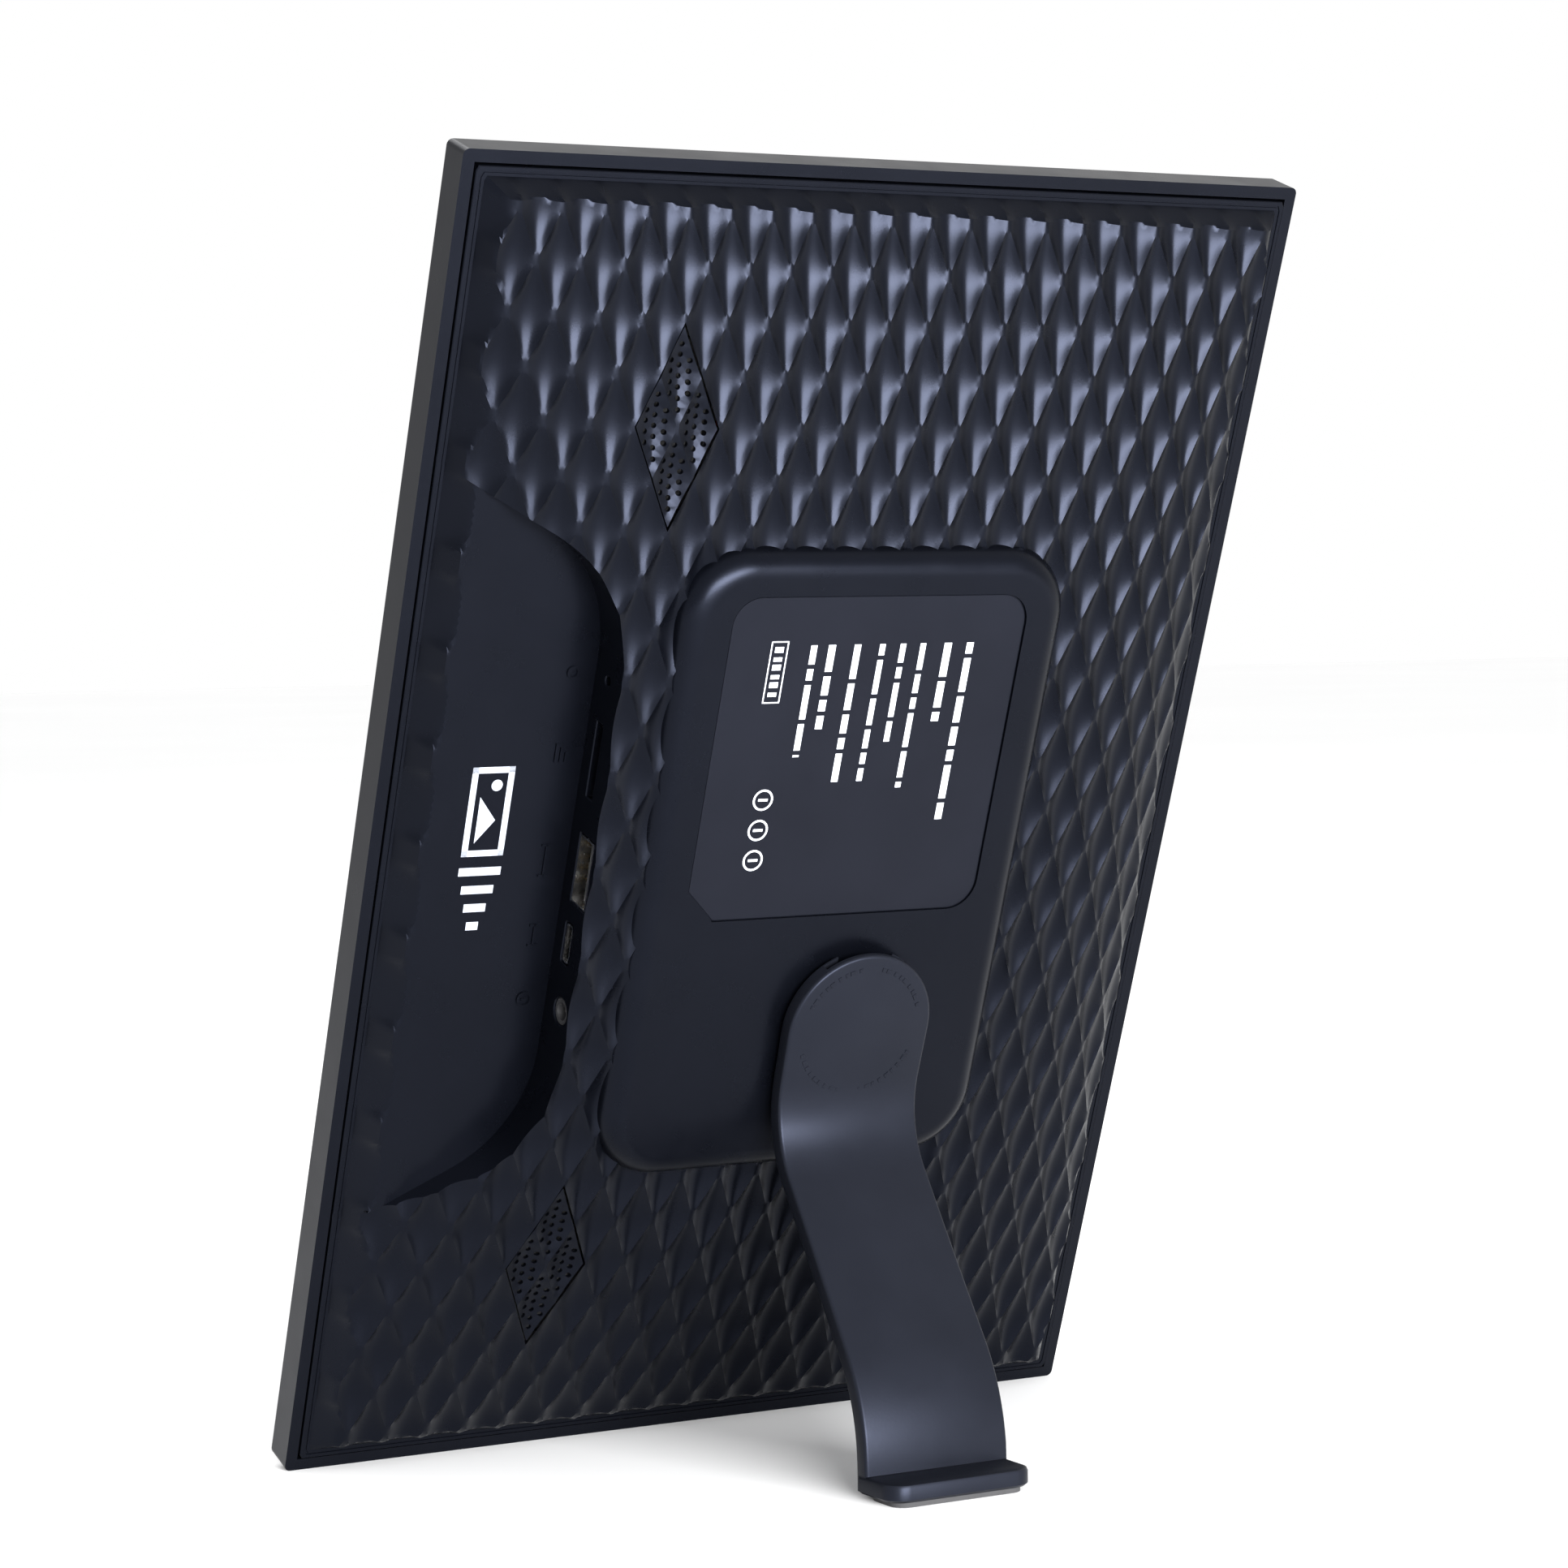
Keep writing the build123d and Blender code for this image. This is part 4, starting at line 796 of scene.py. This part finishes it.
# raised ring of dashes near the edge of the leg's head, in place of words
dashes = Shape()
RING_R = 12.6
DASH = (0.42, 0.14)     # half height across the ring, and how far it stands up
DASH_SINK = 0.05
DASH_ARC = 62           # degrees that each of the four groups of dashes spans
DASH_COUNT = 9
INNER_R = RING_R - DASH[0]
OUTER_R = RING_R + DASH[0]
for first in (200, 278, 20, 98):
    for k in range(DASH_COUNT):
        a0 = radians(first + DASH_ARC * k / DASH_COUNT)
        a1 = a0 + radians(DASH_ARC / DASH_COUNT * (0.45 + 0.3 * (k % 3 == 1)))
        dash_corners = ((INNER_R, a0), (OUTER_R, a0), (OUTER_R, a1), (INNER_R, a1))
        dashes.slab([(HUB_U + r * cos(a), HUB_V + r * sin(a)) for r, a in dash_corners],
                    LEG_TOP_W - DASH_SINK, LEG_TOP_W + DASH[1], bevel=DASH_SINK)
make("head_ring", dashes.points, dashes.faces, "leg", FINISHES["leg"])

# ---------------------------------------------------------------- print on the label
LABEL_T = 0.155
LABEL_FACE_W = PLATEAU_W - LABEL_RECESS + LABEL_T
PRINT_T = 0.02
PRINT_SINK = 0.01
print_lines = Shape()


def bar(shape, u0, v0, u1, v1, w=LABEL_FACE_W, thick=PRINT_T):
    """A thin printed or raised bar between two corners."""
    shape.slab([(u0, v0), (u1, v0), (u1, v1), (u0, v1)], w - PRINT_SINK, w + thick)


def frame_bars(shape, u0, v0, u1, v1, stroke, w=LABEL_FACE_W):
    """Four bars round a rectangle."""
    for sides in ((u0, v0, u1, v0 + stroke), (u0, v1 - stroke, u1, v1),
                  (u0, v0, u0 + stroke, v1), (u1 - stroke, v0, u1, v1)):
        bar(shape, *sides, w)


def ring_mark(shape, outer, inner, steps, centre, w):
    """A flat ring between two radii."""
    shape.cap([circle(outer, steps, centre), circle(inner, steps, centre)],
              lambda x, y: (x, y, w))


# rows of text are replaced by rows of word-long dashes that run down the label;
# each row's middle, length and thickness
TEXT_ROWS = ((107.3, 35.4, 1.5), (102.5, 15.5, 1.6), (97.1, 28.6, 1.2), (92.8, 19.3, 1.2),
             (88.4, 27.0, 1.2), (83.1, 27.0, 1.4), (77.7, 16.4, 1.5), (73.9, 21.8, 1.3))
TEXT_TOP_V = 173.1
WORD = (2.2, 1.5)       # the shortest dash, and the step between dash lengths
WORD_GAP = 0.9
for row, (u, length, tall) in enumerate(TEXT_ROWS):
    v = TEXT_TOP_V
    word = 0
    while v > TEXT_TOP_V - length:
        size = min(WORD[0] + WORD[1] * ((word * 7 + row * 3) % 4), v - TEXT_TOP_V + length)
        bar(print_lines, u - tall / 2, v - size, u + tall / 2, v)
        v -= size + WORD_GAP
        word += 1
BOX = (64.9, 162.0, 68.5, 174.0)
LINE = 0.25
frame_bars(print_lines, *BOX, LINE)
STRIPE_PITCH = 1.7
for k in range(6):
    v = BOX[1] + STRIPE_PITCH * k
    bar(print_lines, BOX[0] + 0.9, v + 1.3, BOX[2] - 0.9, v + 2.1 + 0.3 * (k % 2))
MARK_SPOTS = ((68.6, 143.0), (68.6, 137.0), (68.6, 131.0))
for u, v in MARK_SPOTS:
    ring_mark(print_lines, 2.1, 1.7, 28, (u, v), LABEL_FACE_W + PRINT_T)
    bar(print_lines, u - 1.0, v - 0.25, u + 1.0, v + 0.25)
make("label_print", print_lines.points, print_lines.faces, "display", FINISHES["print"])

# ---------------------------------------------------------------- marks in the connector bay
marks = Shape()
MARK_U = 32.6
MARK_T = 0.3
POWER_V, RESET_V = 99.4, 163.9
ring_mark(marks, 1.5, 1.15, 28, (MARK_U, POWER_V), BAY_FLOOR_W + MARK_T)
bar(marks, MARK_U - 0.6, POWER_V - 0.2, MARK_U + 0.6, POWER_V + 0.2, BAY_FLOOR_W, MARK_T)
for v, half in ((112.4, 2.2), (127.3, 3.2)):
    bar(marks, MARK_U - 0.2, v - half, MARK_U + 0.2, v + half, BAY_FLOOR_W, MARK_T)
    bar(marks, MARK_U - 1.0, v - half, MARK_U + 1.0, v - half + 0.4, BAY_FLOOR_W, MARK_T)
    bar(marks, MARK_U - 1.0, v + half - 0.4, MARK_U + 1.0, v + half, BAY_FLOOR_W, MARK_T)
for k in range(3):
    bar(marks, MARK_U - 1.2 + k, 146.6, MARK_U - 0.7 + k, 150.2 - 0.8 * k, BAY_FLOOR_W, MARK_T)
ring_mark(marks, 1.2, 0.85, 24, (MARK_U, RESET_V), BAY_FLOOR_W + MARK_T)
make("bay_marks", marks.points, marks.faces, "display", FINISHES["cover"])

# a plain picture pictogram and four bars, printed on the bay floor
pictogram = Shape()
PICTURE = (15.6, 128.6, 24.0, 146.0)
STROKE = 1.2
frame_bars(pictogram, *PICTURE, STROKE, BAY_FLOOR_W)
peak = [(PICTURE[0] + 2.2, PICTURE[1] + 2.6), (PICTURE[0] + 2.2, PICTURE[1] + 11.6),
        (PICTURE[0] + 5.8, PICTURE[1] + 7.0)]
sun = circle(1.1, 24, (PICTURE[0] + 5.2, PICTURE[3] - 3.6))
for shape in (peak, sun):
    pictogram.cap([shape], lambda x, y: (x, y, BAY_FLOOR_W + PRINT_T))
PICTURE_MID_U = (PICTURE[0] + PICTURE[2]) / 2
for k, size in enumerate((8.4, 6.4, 4.4, 2.4)):
    v = PICTURE[1] - 2.2 - 3.6 * k
    bar(pictogram, PICTURE_MID_U - size / 2, v - 1.6, PICTURE_MID_U + size / 2, v, BAY_FLOOR_W)
make("bay_pictogram", pictogram.points, pictogram.faces, "display", FINISHES["print_grey"])

# ---------------------------------------------------------------- studio
bpy.context.view_layer.update()
centre = (cad_lo + cad_hi) / 2
floor_mesh = bpy.data.meshes.new("floor")
FLOOR = 6.0
floor_corners = [(-FLOOR, -FLOOR, 0), (FLOOR, -FLOOR, 0), (FLOOR, FLOOR, 0), (-FLOOR, FLOOR, 0)]
floor_mesh.from_pydata(floor_corners, [], [(0, 1, 2, 3)])
floor = bpy.data.objects.new("floor", floor_mesh)
bpy.context.scene.collection.objects.link(floor)
floor.data.materials.append(finish("floor", (0.98, 0.98, 0.98), 0.8, spread=0.01, blotch=0.4,
                                   grain=0.01, bump=0.02))

world = bpy.data.worlds.new("studio")
world.use_nodes = True
world.node_tree.nodes["Background"].inputs["Color"].default_value = (1, 1, 1, 1)
world.node_tree.nodes["Background"].inputs["Strength"].default_value = 1.0
bpy.context.scene.world = world
bpy.context.scene.view_settings.view_transform = "Standard"


def softbox(name, position, target, size, power):
    """A rectangular area light aimed at a point."""
    data = bpy.data.lights.new(name, "AREA")
    data.shape = "RECTANGLE"
    data.size, data.size_y = size
    data.energy = power
    lamp = bpy.data.objects.new(name, data)
    lamp.location = position
    lamp.rotation_euler = (Vector(target) - Vector(position)).to_track_quat("-Z", "Y").to_euler()
    bpy.context.scene.collection.objects.link(lamp)


softbox("key_box", (0.05, 1.4, 0.25), centre, (1.1, 0.42), 80)
softbox("front_box", (0.0, -1.0, 1.3), centre, (0.9, 0.7), 6)

# ---------------------------------------------------------------- camera
EYE = (-299.0, 402.0, 616.1)               # the eye point and its axes, in the panel frame
EYE_RIGHT = (0.8676, 0.1597, 0.4709)
EYE_BACK = (-0.4961, 0.3418, 0.7981)
LENS = 93.9
right = Vector(np.array(EYE_RIGHT) @ AXES).normalized()
back = Vector(np.array(EYE_BACK) @ AXES).normalized()
up = back.cross(right).normalized()
camera_data = bpy.data.cameras.new("camera")
camera_data.lens = LENS
camera_data.sensor_width = 36
camera_data.clip_start = 0.01
camera = bpy.data.objects.new("camera", camera_data)
turn = Matrix((right, up, back)).transposed().to_4x4()
camera.matrix_world = Matrix.Translation(Vector(place([EYE])[0])) @ turn
bpy.context.scene.collection.objects.link(camera)
bpy.context.scene.camera = camera

# ---------------------------------------------------------------- final scene update
bpy.context.view_layer.update()
